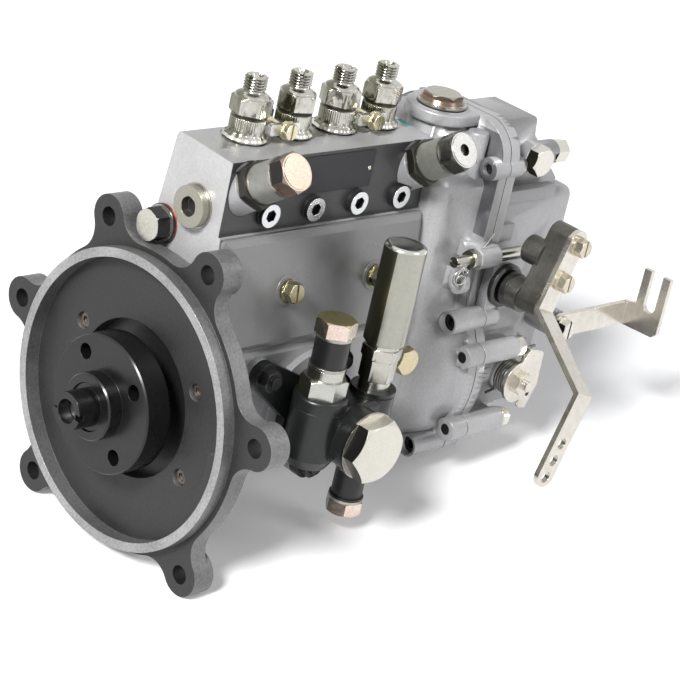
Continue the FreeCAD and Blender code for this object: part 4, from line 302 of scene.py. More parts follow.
def metal(name, colour, rough=0.4, metallic=1.0, grain=900.0, bump=0.1, spread=0.12, stain=0.0,
          stain_colour=(0.1, 0.09, 0.08), edge=0.0004, zones=()):
    """Metal or coated metal: colour and sheen vary, the grain shows as fine bump."""
    material = bpy.data.materials.new(name)
    n = Nodes(material)
    bsdf = n.tree.nodes["Principled BSDF"]
    fine = n.noise(grain, 3.0, 0.6)
    broad = n.noise(BROAD_SCALE, 4.0, 0.55)
    tone = n.add("ShaderNodeValToRGB")
    dark, light = tone.color_ramp.elements
    dark.position = NOISE_LOW
    light.position = NOISE_HIGH
    dark.color = rgb(WHITE, 1.0 - spread)
    light.color = rgb(WHITE, 1.0 + spread)
    n.feed(n.blend(0.5, fine, broad, "FLOAT"), tone.inputs["Fac"])
    base = rgb(colour)
    sheen = n.remap(broad, NOISE_LOW, NOISE_HIGH, max(ROUGH_LEAST, rough - ROUGH_SPREAD),
                    min(1.0, rough + ROUGH_SPREAD))
    shine = metallic
    for limits, over, over_rough, over_metallic in zones:
        mask = n.zone(limits)
        base = n.blend(mask, base, rgb(over))
        sheen = n.blend(mask, sheen, over_rough, "FLOAT")
        shine = n.blend(mask, shine, over_metallic, "FLOAT")
    base = n.blend(1.0, base, tone.outputs["Color"], blend_type="MULTIPLY")
    if stain > 0:
        blots = n.remap(n.noise(BLOT_SCALE, 6.0, 0.7), 0.5, 0.68, 0.0, stain)
        base = n.blend(blots, base, rgb(stain_colour))
    n.feed(base, bsdf.inputs["Base Color"])
    n.feed(sheen, bsdf.inputs["Roughness"])
    n.feed(shine, bsdf.inputs["Metallic"])
    relief = n.add("ShaderNodeBump", in_Strength=bump, in_Distance=GRAIN_DEPTH)
    n.feed(fine, relief.inputs["Height"])
    soft = n.add("ShaderNodeBevel", samples=4, in_Radius=edge)
    n.feed(soft.outputs["Normal"], relief.inputs["Normal"])
    n.feed(relief.outputs["Normal"], bsdf.inputs["Normal"])
    return material


# Zones of a finish, and zones of painted light and shade: limits, colour, roughness, metallic
FLANGE_ZONES = [
    # Painted light: faces that don't look toward the flange's end are painted lighter than the
    # dark end faces of the same cast iron
    ({"toward_flange": (-2.0, 0.5)}, (0.17, 0.17, 0.17), 0.45, 0.4),
    ({"X": (-30, -6.0), "R": (0, 72.0)}, (0.014, 0.014, 0.014), 0.55, 0.0),
    ({"X": (-30, -6.9), "R": (72.6, 78.9), "toward_flange": (0.7, 2.0)},
     (0.36, 0.36, 0.355), 0.34, 0.7),
    # The walls of the ear holes keep the dark colour, without that painted light
    ({"EAR_HOLES": (0, 5.6), "toward_flange": (-0.5, 0.9)}, (0.012, 0.012, 0.012), 0.5, 0.0),
    ({"X": (-7, 20), "R": (0, 42.5), "toward_flange": (-0.5, 0.9)},
     (0.010, 0.010, 0.010), 0.4, 0.0),
]
HOUSING_ZONES = [
    ({"X": (-20, 13.9), "R": (0, 60)}, (0.010, 0.010, 0.010), 0.4, 0.0),
    # Painted shade and a painted dark reflection: the front face of the upper block is much darker
    # than the rest of the alloy
    ({"X": (10, 161.9), "Y": (-25.4, -24.6), "Z": (97.5, 138.6)},
     (0.055, 0.055, 0.056), 0.38, 0.2),
    ({"X": (10, 161.9), "Z": (138.2, 139)}, (0.42, 0.42, 0.40), 0.28, 0.8),
    ({"X": (15.2, 15.7), "Z": (60, 139)}, (0.50, 0.50, 0.50), 0.40, 0.3),
    ({"X": (158.6, 161.9), "Y": (-15, 1), "Z": (138.2, 139)}, (0.03, 0.34, 0.30), 0.5, 0.0),
]
FRONT_PAINTED_SHADE = [
    # Painted shade: faces of the governor housing's front that look toward the flange are darker
    ({"X": (184, 204), "Z": (84, 142), "toward_flange": (0.5, 2.0)},
     (0.13, 0.13, 0.137), 0.4, 0.2),
]
# Painted shade: faces of the governor cover that look toward the flange are darker
REAR_PAINTED_SHADE = [({"toward_flange": (0.3, 2.0)}, (0.22, 0.22, 0.225), 0.4, 0.2)]
# Painted dark reflection: faces turned outward to the left are painted dark in the first zone and
# near black in the second
PAINTED_DARK_REFLECTION = ({"outer_left": (0.36, 2.0)}, (0.11, 0.106, 0.08), 0.28, 0.9)
PAINTED_BLACK_REFLECTION = ({"outer_left": (0.45, 2.0)}, (0.022, 0.021, 0.018), 0.3, 0.7)
FILLER_ZONES = [
    ({"Z": (149.5, 153.6), "up": (-0.5, 0.5)}, (0.20, 0.145, 0.11), 0.26, 1.0),
    ({"Z": (146, 147.9)}, (0.03, 0.03, 0.028), 0.4, 0.6),
]
# Painted shade: the floor of the gallery plug's socket is near black
SOCKET_PAINTED_SHADE = [({"X": (13.5, 15.0), "toward_flange": (0.7, 2.0)}, (0.01, 0.01, 0.01), 0.5, 0.0)]
# Painted shade: the barrel screws' sockets and the heads below their faces are near black
SCREW_PAINTED_SHADE = [({"Y": (-28.8, -24.0)}, (0.03, 0.03, 0.032), 0.4, 0.5)]
GASKET_ZONES = [({"X": (203, 207)}, (0.022, 0.006, 0.006), 0.7, 0.0)]
JOINT_SCREW_ZONES = [PAINTED_BLACK_REFLECTION, ({"X": (150, 192)}, (0.02, 0.02, 0.02), 0.4, 0.4)]
CAP_ZONES = [({"toward_flange": (0.9, 2.0)}, (0.55, 0.53, 0.47), 0.3, 0.9)]
HEAD_ZONES = [PAINTED_BLACK_REFLECTION, ({"union_face": (0.85, 2.0)}, (0.80, 0.66, 0.54), 0.28, 1.0)]
VALVE_ZONES = [({"union_face": (0.85, 2.0)}, (0.80, 0.79, 0.77), 0.28, 1.0)]
BOLT_ZONES = [PAINTED_DARK_REFLECTION, ({"Z": (30, 80), "up": (0.8, 2.0)}, (0.46, 0.40, 0.19), 0.3, 1.0)]
# The upper adapters are dark: partly their dark tinted finish, partly painted shade; their
# outer-left faces carry the painted dark reflection
ADAPTER_ZONES = [PAINTED_DARK_REFLECTION, ({"Z": (80, 200)}, (0.045, 0.043, 0.034), 0.28, 0.8)]
SLEEVE_ZONES = [({"Z": (80, 200)}, (0.27, 0.27, 0.245), 0.40, 0.6)]
WASHER_ZONES = [
    ({"X": (12, 16), "Y": (0, 30), "Z": (70, 100)}, (0.55, 0.12, 0.06), 0.35, 0.9),
    ({"Z": (80, 200), "X": (20, 200)}, (0.16, 0.16, 0.14), 0.35, 0.9),
]
HOLDER_ZONES = [
    # Painted dark reflection on the faces turned outward to the left
    ({"outer_left": (0.30, 2.0)}, (0.20, 0.20, 0.15), 0.2, 1.0),
    # Painted shade: the thread's down-facing flanks are darker
    ({"Z": (164.2, 171.3), "up": (-2.0, -0.05)}, (0.03, 0.03, 0.02), 0.3, 0.8),
    # Painted shade in the groove under the hexagon
    ({"Z": (150.2, 152.6)}, (0.06, 0.06, 0.045), 0.3, 0.9),
    # Painted highlight: the faces of the scalloped foot that look up are bright
    ({"Z": (138.0, 140.9), "up": (0.2, 2.0)}, (0.72, 0.71, 0.66), 0.18, 1.0),
]
GRIP_ZONES = [
    # Painted dark reflection on the faces turned outward to the left
    ({"outer_left": (0.40, 2.0)}, (0.055, 0.055, 0.035), 0.3, 0.9),
    ({"Z": (95.1, 98)}, (0.60, 0.60, 0.56), 0.16, 1.0),
]

# One look for each material slot
SLOT_LOOKS = {
    "cast_flange": dict(colour=(0.022, 0.022, 0.0215), rough=0.5, metallic=0.1, grain=700,
                        bump=0.5, spread=0.45, zones=FLANGE_ZONES),
    "cast_alloy": dict(colour=(0.39, 0.39, 0.395), rough=0.36, metallic=0.3, grain=800,
                       bump=0.45, spread=0.16, edge=0.0008, zones=HOUSING_ZONES),
    # Painted shade: the side cover's alloy is darker than the housing's, for the shade on its
    # front
    "cover_alloy": dict(colour=(0.23, 0.23, 0.232), rough=0.34, metallic=0.3, grain=1200,
                        bump=0.15, spread=0.10),
    "gasket_black": dict(colour=(0.015, 0.015, 0.015), rough=0.8, metallic=0.0, grain=500,
                         bump=0.2, spread=0.2, zones=GASKET_ZONES),
    "zinc_steel": dict(colour=(0.55, 0.50, 0.38), rough=0.25, grain=300, bump=0.05, spread=0.25),
    "nickel_steel": dict(colour=(0.70, 0.70, 0.68), rough=0.30, grain=300, bump=0.05, spread=0.1),
    "machined_steel": dict(colour=(0.42, 0.42, 0.42), rough=0.3, grain=300, bump=0.05, spread=0.1),
    "spring_steel": dict(colour=(0.20, 0.20, 0.19), rough=0.3, grain=300, bump=0.05, spread=0.1),
    "bright_steel": dict(colour=(0.50, 0.49, 0.44), rough=0.24, grain=260, bump=0.05,
                         spread=0.14, zones=[PAINTED_DARK_REFLECTION]),
    "yellow_zinc": dict(colour=(0.62, 0.54, 0.42), rough=0.24, grain=200, bump=0.05, spread=0.3),
    "sleeve_steel": dict(colour=(0.010, 0.010, 0.010), rough=0.35, metallic=0.1, grain=300,
                         bump=0.1, spread=0.2, zones=SLEEVE_ZONES),
    "copper": dict(colour=(0.40, 0.38, 0.34), rough=0.3, grain=300, bump=0.05, spread=0.2,
                   zones=WASHER_ZONES),
    "nameplate_dark": dict(colour=(0.016, 0.016, 0.019), rough=0.38, metallic=0.3, grain=600,
                           bump=0.1, spread=0.25),
    "black_oxide": dict(colour=(0.008, 0.008, 0.008), rough=0.30, metallic=0.1, grain=400,
                        bump=0.1, spread=0.3),
    "black_cast": dict(colour=(0.008, 0.009, 0.009), rough=0.30, metallic=0.0, grain=400,
                       bump=0.35, spread=0.3),
    "dark_arm": dict(colour=(0.11, 0.108, 0.095), rough=0.34, metallic=0.8, grain=500,
                     bump=0.3, spread=0.3),
    "zinc_sheet": dict(colour=(0.62, 0.59, 0.53), rough=0.25, grain=260, bump=0.05, spread=0.14),
}

# Pieces whose finish differs from the rest of their slot; some also carry painted light and shade
OWN_LOOKS = {
    "side_cover_screws": dict(colour=(0.30, 0.28, 0.18), rough=0.24, grain=300, spread=0.3),
    "clamp_screws": dict(colour=(0.68, 0.63, 0.46), rough=0.22, grain=300, spread=0.3),
    "governor_housing": dict(colour=(0.40, 0.40, 0.405), rough=0.36, metallic=0.3, grain=800,
                             bump=0.45, spread=0.18, edge=0.0008, zones=FRONT_PAINTED_SHADE),
    "governor_cover": dict(colour=(0.42, 0.42, 0.425), rough=0.38, metallic=0.35, grain=800,
                           bump=0.4, spread=0.14, edge=0.0008, zones=REAR_PAINTED_SHADE),
    "lever_screws": dict(colour=(0.56, 0.52, 0.42), rough=0.24, spread=0.25),
    "governor_screws": dict(colour=(0.62, 0.60, 0.54), rough=0.28, spread=0.15,
                            zones=JOINT_SCREW_ZONES),
    "flange_screws": dict(colour=(0.17, 0.145, 0.13), rough=0.4, spread=0.3),
    "oil_level_plug": dict(colour=(0.56, 0.49, 0.32), rough=0.28, spread=0.2),
    "lever_shaft": dict(colour=(0.10, 0.10, 0.095), rough=0.3, spread=0.2),
    "barrel_screws": dict(colour=(0.66, 0.67, 0.68), rough=0.26, spread=0.1, zones=SCREW_PAINTED_SHADE),
    "gallery_plug": dict(colour=(0.38, 0.37, 0.31), rough=0.3, spread=0.14, zones=SOCKET_PAINTED_SHADE),
    "filler_plug": dict(colour=(0.40, 0.38, 0.33), rough=0.2, spread=0.25, zones=FILLER_ZONES),
    "lever_bush": dict(colour=(0.07, 0.07, 0.068), rough=0.3, spread=0.2),
    "feed_pump_plug": dict(colour=(0.60, 0.58, 0.52), rough=0.34, spread=0.12,
                           zones=[PAINTED_BLACK_REFLECTION]),
    "inlet_fitting": dict(colour=(0.36, 0.27, 0.21), rough=0.26, spread=0.3, zones=HEAD_ZONES),
    "overflow_valve": dict(colour=(0.10, 0.10, 0.09), rough=0.26, spread=0.2, zones=VALVE_ZONES),
    "feed_pump_bolts": dict(colour=(0.68, 0.58, 0.50), rough=0.24, spread=0.35, stain=0.5,
                            stain_colour=(0.66, 0.42, 0.36), zones=BOLT_ZONES),
    "union_adapters": dict(colour=(0.50, 0.50, 0.46), rough=0.26, spread=0.16,
                           zones=ADAPTER_ZONES),
}

# Looks of pieces that stand for a node or are added
HOLDER_LOOK = dict(colour=(0.54, 0.53, 0.48), rough=0.17, grain=300, bump=0.08, spread=0.3,
                   edge=0.0002, stain=0.6, stain_colour=(0.13, 0.12, 0.07), zones=HOLDER_ZONES)
GRIP_LOOK = dict(colour=(0.38, 0.38, 0.33), rough=0.34, grain=500, bump=0.12, spread=0.12,
                 zones=GRIP_ZONES)
CAP_LOOK = dict(colour=(0.014, 0.014, 0.013), rough=0.22, metallic=0.3, spread=0.3,
                zones=CAP_ZONES)
WIRE_LOOK = dict(colour=(0.52, 0.51, 0.48), rough=0.25, grain=300, bump=0.05, spread=0.1)

looks = {slot: metal(slot, **values) for slot, values in SLOT_LOOKS.items()}


def finish_nodes():
    for name, thing in nodes.items():
        look = metal(name, **OWN_LOOKS[name]) if name in OWN_LOOKS else looks[slot_of[name]]
        thing.data.materials.clear()
        thing.data.materials.append(look)
        thing.data.set_sharp_from_angle(angle=math.radians(SHARP))


def add_piece(name, mesh, look, body, sharp=SHARP):
    piece = bpy.data.objects.new(name, mesh)
    bpy.context.scene.collection.objects.link(piece)
    mesh.materials.append(look)
    mesh.polygons.foreach_set("use_smooth", [True] * len(mesh.polygons))
    mesh.set_sharp_from_angle(angle=math.radians(sharp))
    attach(piece, body)
    return piece


def mesh_from(bm, name):
    mesh = bpy.data.meshes.new(name)
    bm.to_mesh(mesh)
    bm.free()
    return mesh


def turned(name, rows, columns, centre, lay=None):
    """Closed mesh from rows of (height, radius) about an upright axis, or laid by a matrix."""
    bm = bmesh.new()
    rings = []
    for row in rows:
        ring = []
        for i in range(columns):
            angle = 2 * math.pi * i / columns
            z, r = row(angle)
            x = centre[0] + r * math.cos(angle)
            y = centre[1] + r * math.sin(angle)
            ring.append(bm.verts.new((x * MM, y * MM, z * MM)))
        rings.append(ring)
    for low, high in zip(rings, rings[1:]):
        for i in range(columns):
            k = (i + 1) % columns
            bm.faces.new((low[i], low[k], high[k], high[i]))
    bm.faces.new(list(reversed(rings[0])))
    bm.faces.new(rings[-1])
    if lay is not None:
        bmesh.ops.transform(bm, matrix=lay, verts=bm.verts)
    return mesh_from(bm, name)


def prism(name, outline, axis, low, high, bevel=0.0):
    """Closed prism: an outline in the two other directions, pushed from low to high."""
    bm = bmesh.new()
    ends = []
    for level in (low, high):
        ring = []
        for a, b in outline:
            place = {"X": (level, a, b), "Y": (a, level, b), "Z": (a, b, level)}[axis]
            ring.append(bm.verts.new([c * MM for c in place]))
        ends.append(ring)
        bm.faces.new(ring)
    count = len(outline)
    for i in range(count):
        k = (i + 1) % count
        bm.faces.new((ends[0][i], ends[0][k], ends[1][k], ends[1][i]))
    bmesh.ops.recalc_face_normals(bm, faces=bm.faces)
    if bevel:
        edges = [e for e in bm.edges if e.calc_face_angle(0) > 0.6]
        bmesh.ops.bevel(bm, geom=edges, offset=bevel * MM, segments=3, affect="EDGES",
                        profile=0.5)
    return mesh_from(bm, name)


def arc(centre, radius, start, end, step):
    """Points of an arc in a plane, with angles in degrees."""
    return [(centre[0] + radius * math.cos(math.radians(a)),
             centre[1] + radius * math.sin(math.radians(a))) for a in range(start, end, step)]


def rectangle(left, right, low, high):
    return [(left, low), (right, low), (right, high), (left, high)]


def round_rows(base, pairs):
    """Plain rings, each given by its height over the base and its radius."""
    return [lambda angle, z=base + up, r=r: (z, r) for up, r in pairs]


def scalloped_row(z, r, depth):
    return lambda angle: (z, r - depth * abs(math.sin(SCALLOPS * angle / 2)) ** 3)


def knurled_row(z):
    return lambda angle: (z, KNURL_R - KNURL_DEPTH * (0.5 + 0.5 * math.cos(KNURLS * angle)))


def hexagon_row(z, flats, limit, turn):
    def place(angle):
        sector = (angle - turn) % (math.pi / 3) - math.pi / 6
        return z, min(limit, flats / 2 / math.cos(sector))
    return place


def hexagon_rows(low, high, flats, turn, bevel):
    """Hexagon with chamfered corners at both ends."""
    corner = flats / math.sqrt(3)
    inner = bevel * 0.6
    return [hexagon_row(low, flats, corner - bevel, turn),
            hexagon_row(low + inner, flats, corner, turn),
            hexagon_row(high - inner, flats, corner, turn),
            hexagon_row(high, flats, corner - bevel, turn)]


def slotted_row(z, r, slot_turn, depth=0.0):
    """One ring of a slotted end, lowered in the screwdriver slot; depth cuts a thread into it."""
    def place(angle):
        phase = (z / THREAD_PITCH - angle / (2 * math.pi)) % 1.0
        radius = r - depth * abs(2 * phase - 1)
        across = abs(radius * math.sin(angle - slot_turn))
        return (min(z, HOLDER_TOP - SLOT_DEPTH) if across < SLOT_HALF else z), radius
    return place


def holder_rows(turn):
    """Rows of a delivery valve holder: scalloped foot, knurls, hexagon, collar, slotted thread."""
    seat = HOLDER_SEAT
    thread = HOLDER_TOP - HOLDER_THREAD
    shoulder = thread - HOLDER_SHOULDER
    foot = shoulder - HOLDER_HEX_LEN
    corner = HOLDER_HEX / math.sqrt(3) - 0.1
    rows = round_rows(seat, [(-6, 9.0), (0, 9.0), (0, 11.4)])
    rows += [scalloped_row(seat + 0.8, 12.0, 0.5), scalloped_row(seat + 1.8, 11.7, 0.7),
             scalloped_row(seat + 2.8, 10.4, 0.8), scalloped_row(seat + 3.6, 9.6, 0.5)]
    rows += round_rows(seat, [(5.0, 9.35)])
    rows += [knurled_row(seat + 5.4), knurled_row(foot - 1.5)]
    rows += round_rows(foot, [(-1.2, 9.0), (-0.4, 9.0)])
    rows += [hexagon_row(foot, HOLDER_HEX, 9.3, turn),
             hexagon_row(foot + 1.0, HOLDER_HEX, corner, turn),
             hexagon_row(shoulder - 1.0, HOLDER_HEX, corner, turn),
             hexagon_row(shoulder, HOLDER_HEX, HOLDER_HEX / 2 + 0.1, turn)]
    rows += round_rows(shoulder, [(0.1, 8.9), (0.9, 8.7), (1.3, 8.1), (2.0, 6.8), (2.5, 5.6)])
    rows += round_rows(thread, [(-0.4, 5.2), (0.1, 5.2)])
    steps = int((HOLDER_THREAD - 0.7) / (THREAD_PITCH / THREAD_STEPS))
    for i in range(steps + 1):
        z = thread + THREAD_START + i * THREAD_PITCH / THREAD_STEPS
        rows.append(slotted_row(z, THREAD_R, turn, THREAD_DEPTH))
    rows += [slotted_row(HOLDER_TOP - 0.3, 5.3, turn), slotted_row(HOLDER_TOP, 4.9, turn),
             slotted_row(HOLDER_TOP, 3.4, turn)]
    return rows + round_rows(HOLDER_TOP, [(-2.4, 1.5), (-12, 1.5)])


def make_holders():
    look = metal("holder_nickel", **HOLDER_LOOK)
    for i, (x, turn) in enumerate(zip(HOLDER_X, HOLDER_TURNS)):
        name = "valve_holder_%d" % (i + 1)
        mesh = turned(name, holder_rows(turn), 144, (x, 0))
        piece = add_piece(name, mesh, look, body_of["delivery_valve_holders"],
                          35)
        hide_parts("delivery_valve_holders")


def tube_along(name, points, radius, look, body):
    """Round wire through listed points."""
    curve = bpy.data.curves.new(name, "CURVE")
    curve.dimensions = "3D"
    curve.bevel_depth = radius * MM
    curve.bevel_resolution = 4
    curve.resolution_u = 8
    spline = curve.splines.new("NURBS")
    spline.points.add(len(points) - 1)
    for point, (x, y, z) in zip(spline.points, points):
        point.co = (x * MM, y * MM, z * MM, 1.0)
    spline.order_u = 4
    spline.use_endpoint_u = True
    curve.materials.append(look)
    piece = bpy.data.objects.new(name, curve)
    bpy.context.scene.collection.objects.link(piece)
    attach(piece, body)
    return piece


def make_stop_spring():
    """Close-wound torsion spring: one leg on the pad, one hooked over the lever."""
    x0, z0 = STOP_AXIS
    points = [(x0 - 14.0, STOP_COIL_Y + 0.4, z0 - 9.0)]
    for i in range(int(STOP_COIL_TURNS * COIL_STEPS) + 1):
        angle = STOP_COIL_START - 2 * math.pi * i / COIL_STEPS
        y = STOP_COIL_Y - STOP_COIL_PITCH * i / COIL_STEPS
        points.append((x0 + STOP_COIL_R * math.cos(angle), y, z0 + STOP_COIL_R * math.sin(angle)))
    points += [(x0 + 2.0, y, z0 + 12.0), (x0 + 3.6, y, z0 + 17.0),
               (x0 + 5.0, y - 0.6, z0 + 20.5), (x0 + 8.0, y - 2.0, z0 + 21.0)]
    spring = tube_along("stop_spring_wire", points, SPRING_WIRE_R, looks["spring_steel"],
                        body_of["stop_spring"])
    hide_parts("stop_spring")


def make_lock_wire():
    """Two strands of sealing wire from the full-load stop screw to the lug below it."""
    look = metal("wire_steel", **WIRE_LOOK)
    strands = [
        [(203.0, -47.5, 87.0), (196.0, -51.0, 84.5), (189.0, -51.5, 80.0), (184.0, -50.8, 74.0),
         (178.0, -51.0, 71.0), (173.5, -50.5, 67.5), (175.0, -50.0, 62.5), (181.0, -50.5, 60.0),
         (185.0, -50.8, 63.0), (182.0, -51.2, 67.0), (177.0, -50.8, 66.5), (178.0, -49.0, 63.0),
         (180.5, -48.0, 61.5), (184.0, -46.5, 60.0), (187.0, -45.5, 59.5)],
        [(203.0, -47.0, 85.8), (195.0, -50.4, 83.0), (188.0, -51.0, 78.0), (182.5, -51.6, 73.5),
         (179.0, -50.2, 68.5), (184.5, -50.0, 65.5), (186.0, -50.4, 70.0), (180.0, -51.0, 72.0),
         (175.5, -50.4, 66.0), (178.5, -49.4, 61.0), (181.5, -48.0, 60.0), (186.0, -46.2, 60.5)],
    ]
    for i, points in enumerate(strands):
        tube_along("lock_wire_%d" % (i + 1), points, LOCK_WIRE_R, look,
                   body_of["governor_housing"])


def reshaped(node, name, changes):
    """Copy of a casting with closed forms taken off or added, which stands for the node."""
    mesh = nodes[node].data.copy()
    mesh.name = name
    bm = bmesh.new()
    bm.from_mesh(mesh)
    bmesh.ops.remove_doubles(bm, verts=bm.verts, dist=1e-6)
    bm.to_mesh(mesh)
    bm.free()
    piece = bpy.data.objects.new(name, mesh)
    bpy.context.scene.collection.objects.link(piece)
    for operation, form in changes:
        tool = bpy.data.objects.new("tool", form)
        bpy.context.scene.collection.objects.link(tool)
        change = piece.modifiers.new("change", "BOOLEAN")
        change.operation = operation
        change.solver = "EXACT"
        change.object = tool
        graph = bpy.context.evaluated_depsgraph_get()
        result = bpy.data.meshes.new_from_object(piece.evaluated_get(graph))
        piece.modifiers.clear()
        piece.data = result
        bpy.data.objects.remove(tool)
    piece.data.set_sharp_from_angle(angle=math.radians(SHARP))
    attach(piece, body_of[node])
    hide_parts(node)


def far_corner():
    """Prism outside the wide round at the far top corner of the governor joint."""
    y, z = FAR_CORNER
    outline = arc(FAR_CORNER, FAR_CORNER_R, 0, 91, 6)
    return prism("far_corner", outline + [(y, z + 50), (y + 50, z + 50), (y + 50, z)],
                 "X", 180, 217)


def make_governor_forms():
    """The far top corner is widely rounded and the cover's upper box ends near the middle."""
    reshaped("governor_housing", "governor_front_casting", [("DIFFERENCE", far_corner())])
    reshaped("gaskets", "joint_gaskets", [("DIFFERENCE", far_corner())])
    # The forms end a hair off each other's faces, so that no two faces lie in one plane
    beyond = prism("beyond", rectangle(RIM_BACK_X + 0.1, 280, COVER_STEP_Z + 0.1, 160),
                   "Y", 0, 60)
    side = [(COVER_FRONT_X, 100), (COVER_FRONT_X, GOV_TOP - 1.1),
            (COVER_UP_X - 0.1, GOV_TOP - 1.1), (COVER_UP_X + 1.9, 133),
            (COVER_UP_X + 25.9, 109), (COVER_UP_X + 25.9, 100)]
    wall = prism("wall", side, "Y", COVER_WALL_Y, -0.02)
    plate = prism("plate", rectangle(-4, 31, 98, 142), "X", COVER_FRONT_X, RIM_BACK_X - 0.02)
    roof = prism("roof", rectangle(COVER_FRONT_X + 0.5, COVER_UP_X + 24, 101.2,
                                   COVER_STEP_Z + 0.06), "Y", COVER_WALL_Y + 0.3, 32.0)
    boss = prism("boss", arc(FAR_BOSS, FAR_BOSS_R, 0, 360, 10), "X", COVER_FRONT_X + 0.7,
                 FAR_BOSS_X)
    reshaped("governor_cover", "governor_rear_casting",
             [("DIFFERENCE", far_corner()), ("DIFFERENCE", beyond), ("UNION", wall),
              ("UNION", plate), ("UNION", roof), ("UNION", boss)])


def make_filler_lip():
    """D-shaped lip that carries the filler plug, and the post under its near side."""
    y = FILLER[1]
    outline = arc(FILLER, FILLER_LIP_R, 90, 271, 6)
    outline += [(RIM_FRONT_X + 0.5, y - FILLER_LIP_R), (RIM_FRONT_X + 0.5, y + FILLER_LIP_R)]
    lip = prism("filler_lip", outline, "Z", GOV_TOP - FILLER_LIP_HIGH, GOV_TOP - 0.01, 0.9)
    rows = round_rows(GOV_TOP, [(-35, NEAR_POST_R), (-8, NEAR_POST_R), (-6.8, 5.4)])
    post = turned("near_post", rows, 48, NEAR_POST)
    for name, mesh in (("filler_lip", lip), ("near_post", post)):
        add_piece(name, mesh, looks["cast_alloy"], body_of["governor_housing"])


def make_primer():
    """Hand primer: stepped hexagons of the barrel, and the pull handle with its bright rim."""
    rows = round_rows(PRIMER_FOOT, [(-8, 6.8), (0, 6.8), (0, 8.4), (5, 8.4)])
    rows += hexagon_rows(PRIMER_FOOT + 5, PRIMER_FOOT + 17, 17, PRIMER_TURN, 0.6)
    rows += hexagon_rows(PRIMER_FOOT + 17.2, PRIMER_FOOT + 23.5, 19, PRIMER_TURN, 0.8)
    rows += round_rows(PRIMER_FOOT, [(23.6, 9.2)])
    rows += round_rows(PRIMER_SKIRT, [(35.5, 9.2), (36, 8.7), (36, 6.0)])
    rows += round_rows(PRIMER_FOOT, [(10, 6.0)])
    barrel = turned("primer_body", rows, 96, PRIMER)
    barrel = add_piece("primer_body", barrel, looks["bright_steel"], body_of["primer_barrel"])
    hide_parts("primer_barrel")
    rows = round_rows(PRIMER_SKIRT, [(8, 9.9), (0.4, 9.9), (0, 10.3), (0, 11.1),
                                     (0.3, PRIMER_R)])
    rows += round_rows(PRIMER_TOP, [(-2.6, PRIMER_R), (-1.7, PRIMER_R - 0.12),
                                    (-0.8, PRIMER_R - 0.55), (-0.2, PRIMER_R - 1.3),
                                    (0, PRIMER_R - 2.1), (-0.15, PRIMER_R - 2.9),
                                    (-0.4, PRIMER_R - 4.5), (-0.5, 0.5)])
    handle = turned("primer_grip", rows, 96, PRIMER)
    handle = add_piece("primer_grip", handle, metal("primer_satin", **GRIP_LOOK),
                       body_of["primer_handle"])
    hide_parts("primer_handle")


def make_inlet_chamber():
    """Raised top of the feed pump's inlet chamber, round the foot of the hexagon adapter."""
    rows = round_rows(0, [(-4, 12.5), (2, 14.4)])
    rows += round_rows(INLET_CHAMBER_TOP, [(-2.0, 14.6), (-0.8, 14.2), (0, 13.2), (0, 9.0)])
    top = turned("inlet_chamber", rows, 72, INLET_CHAMBER)
    add_piece("inlet_chamber", top, looks["black_cast"], body_of["feed_pump_body"],
              40)


def make_rack_cap():
    """Black hexagon cap over the rack's end, with a round collar against its washer."""
    rows = round_rows(0, [(8.0, 0.4), (8.0, 5.7), (-2, 5.7), (-2, 7.0), (0.05, 7.0),
                          (0.05, 10.2), (1.4, 10.2), (1.8, 9.8)])
    rows += hexagon_rows(1.8, 10.4, 16, RACK_CAP_TURN, 1.0) + round_rows(0, [(10.4, 7.4)])
    face = Matrix.Translation((RACK_FACE_X * MM, RACK[0] * MM, RACK[1] * MM))
    lay = face @ Matrix.Rotation(-math.pi / 2, 4, "Y")
    cap = turned("rack_end_cap", rows, 96, (0, 0), lay=lay)
    cap = add_piece("rack_end_cap", cap, metal("cap_black", **CAP_LOOK), body_of["rack_cap"])
    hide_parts("rack_cap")


def make_nameplate_rivets():
    """Two domed rivets that hold the bare plate."""
    low, high = [Vector(c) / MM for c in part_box("nameplate")]
    z = (low.z + high.z) / 2
    for i, x in enumerate((low.x + RIVET_INSET, high.x - RIVET_INSET)):
        name = "plate_rivet_%d" % (i + 1)
        bm = bmesh.new()
        rings = []
        for out, r in RIVET_DOME:
            y = low.y - out
            if r == 0.0:
                rings.append([bm.verts.new((x * MM, y * MM, z * MM))])
                continue
            angles = [a * 2 * math.pi / RIVET_SIDES for a in range(RIVET_SIDES)]
            rings.append([bm.verts.new(((x + r * math.cos(a)) * MM, y * MM,
                                        (z + r * math.sin(a)) * MM)) for a in angles])
        for a, b in zip(rings, rings[1:]):
            for k in range(RIVET_SIDES):
                m = (k + 1) % RIVET_SIDES
                bm.faces.new((a[k], a[m], b[0]) if len(b) == 1 else (a[k], a[m], b[m], b[k]))
        add_piece(name, mesh_from(bm, name), looks["bright_steel"], body_of["nameplate"],
                  60)


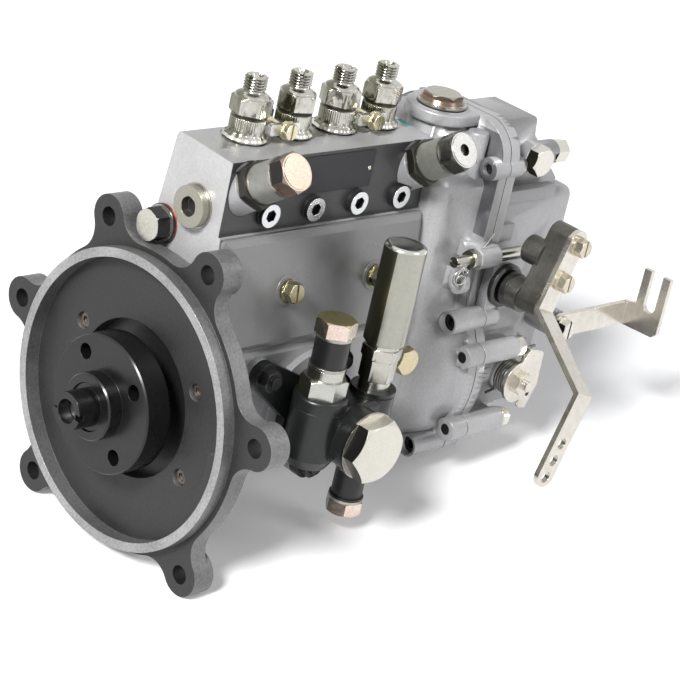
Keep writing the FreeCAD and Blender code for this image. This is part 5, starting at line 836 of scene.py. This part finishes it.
def make_floor():
    bpy.ops.mesh.primitive_plane_add(size=FLOOR_SIZE)
    floor = bpy.context.object
    floor.name = "floor"
    lean = math.atan2(FLANGE_FOOT - REAR_FOOT, FEET_APART)
    floor.rotation_euler = (0, -lean, 0)
    floor.location = (0.0, 0, FLOOR_Z)
    material = bpy.data.materials.new("floor")
    n = Nodes(material)
    bsdf = n.tree.nodes["Principled BSDF"]
    bsdf.inputs["Base Color"].default_value = FLOOR_COLOUR
    bsdf.inputs["Roughness"].default_value = 0.9
    bsdf.inputs["Specular IOR Level"].default_value = 0.0
    bsdf.inputs["Emission Color"].default_value = WHITE
    n.feed(n.math("MULTIPLY", n.backdrop(), FLOOR_LIFT), bsdf.inputs["Emission Strength"])
    floor.data.materials.append(material)


def make_light():
    world = bpy.data.worlds.new("world")
    bpy.context.scene.world = world
    n = Nodes(world)
    sky = n.tree.nodes["Background"]
    sky.inputs["Color"].default_value = SKY_COLOUR
    sky.inputs["Strength"].default_value = SKY_STRENGTH
    seen = n.add("ShaderNodeBackground", in_Color=WHITE)
    mix = n.add("ShaderNodeMixShader")
    n.feed(n.backdrop(), mix.inputs[0])
    n.feed(sky.outputs[0], mix.inputs[1])
    n.feed(seen.outputs[0], mix.inputs[2])
    n.feed(mix.outputs[0], n.tree.nodes["World Output"].inputs["Surface"])
    sun = bpy.data.lights.new("key", "SUN")
    sun.energy = SUN_STRENGTH
    sun.angle = math.radians(SUN_WIDTH)
    lamp = bpy.data.objects.new("key", sun)
    lamp.rotation_euler = Vector(SUN_AIM).to_track_quat("-Z", "Y").to_euler()
    bpy.context.scene.collection.objects.link(lamp)
    area = bpy.data.lights.new("rim", "AREA")
    area.shape = "SQUARE"
    area.size = LAMP_SIZE
    area.energy = LAMP_POWER
    lamp = bpy.data.objects.new("rim", area)
    lamp.location = LAMP_AT
    aim = (Vector(LAMP_TARGET) - Vector(LAMP_AT)).to_track_quat("-Z", "Y")
    lamp.rotation_euler = aim.to_euler()
    bpy.context.scene.collection.objects.link(lamp)


finish_nodes()
make_camera()
make_holders()
make_governor_forms()
make_filler_lip()
make_primer()
make_inlet_chamber()
make_rack_cap()
make_stop_spring()
make_lock_wire()
make_nameplate_rivets()
make_floor()
make_light()
bpy.context.scene.view_settings.view_transform = "Standard"
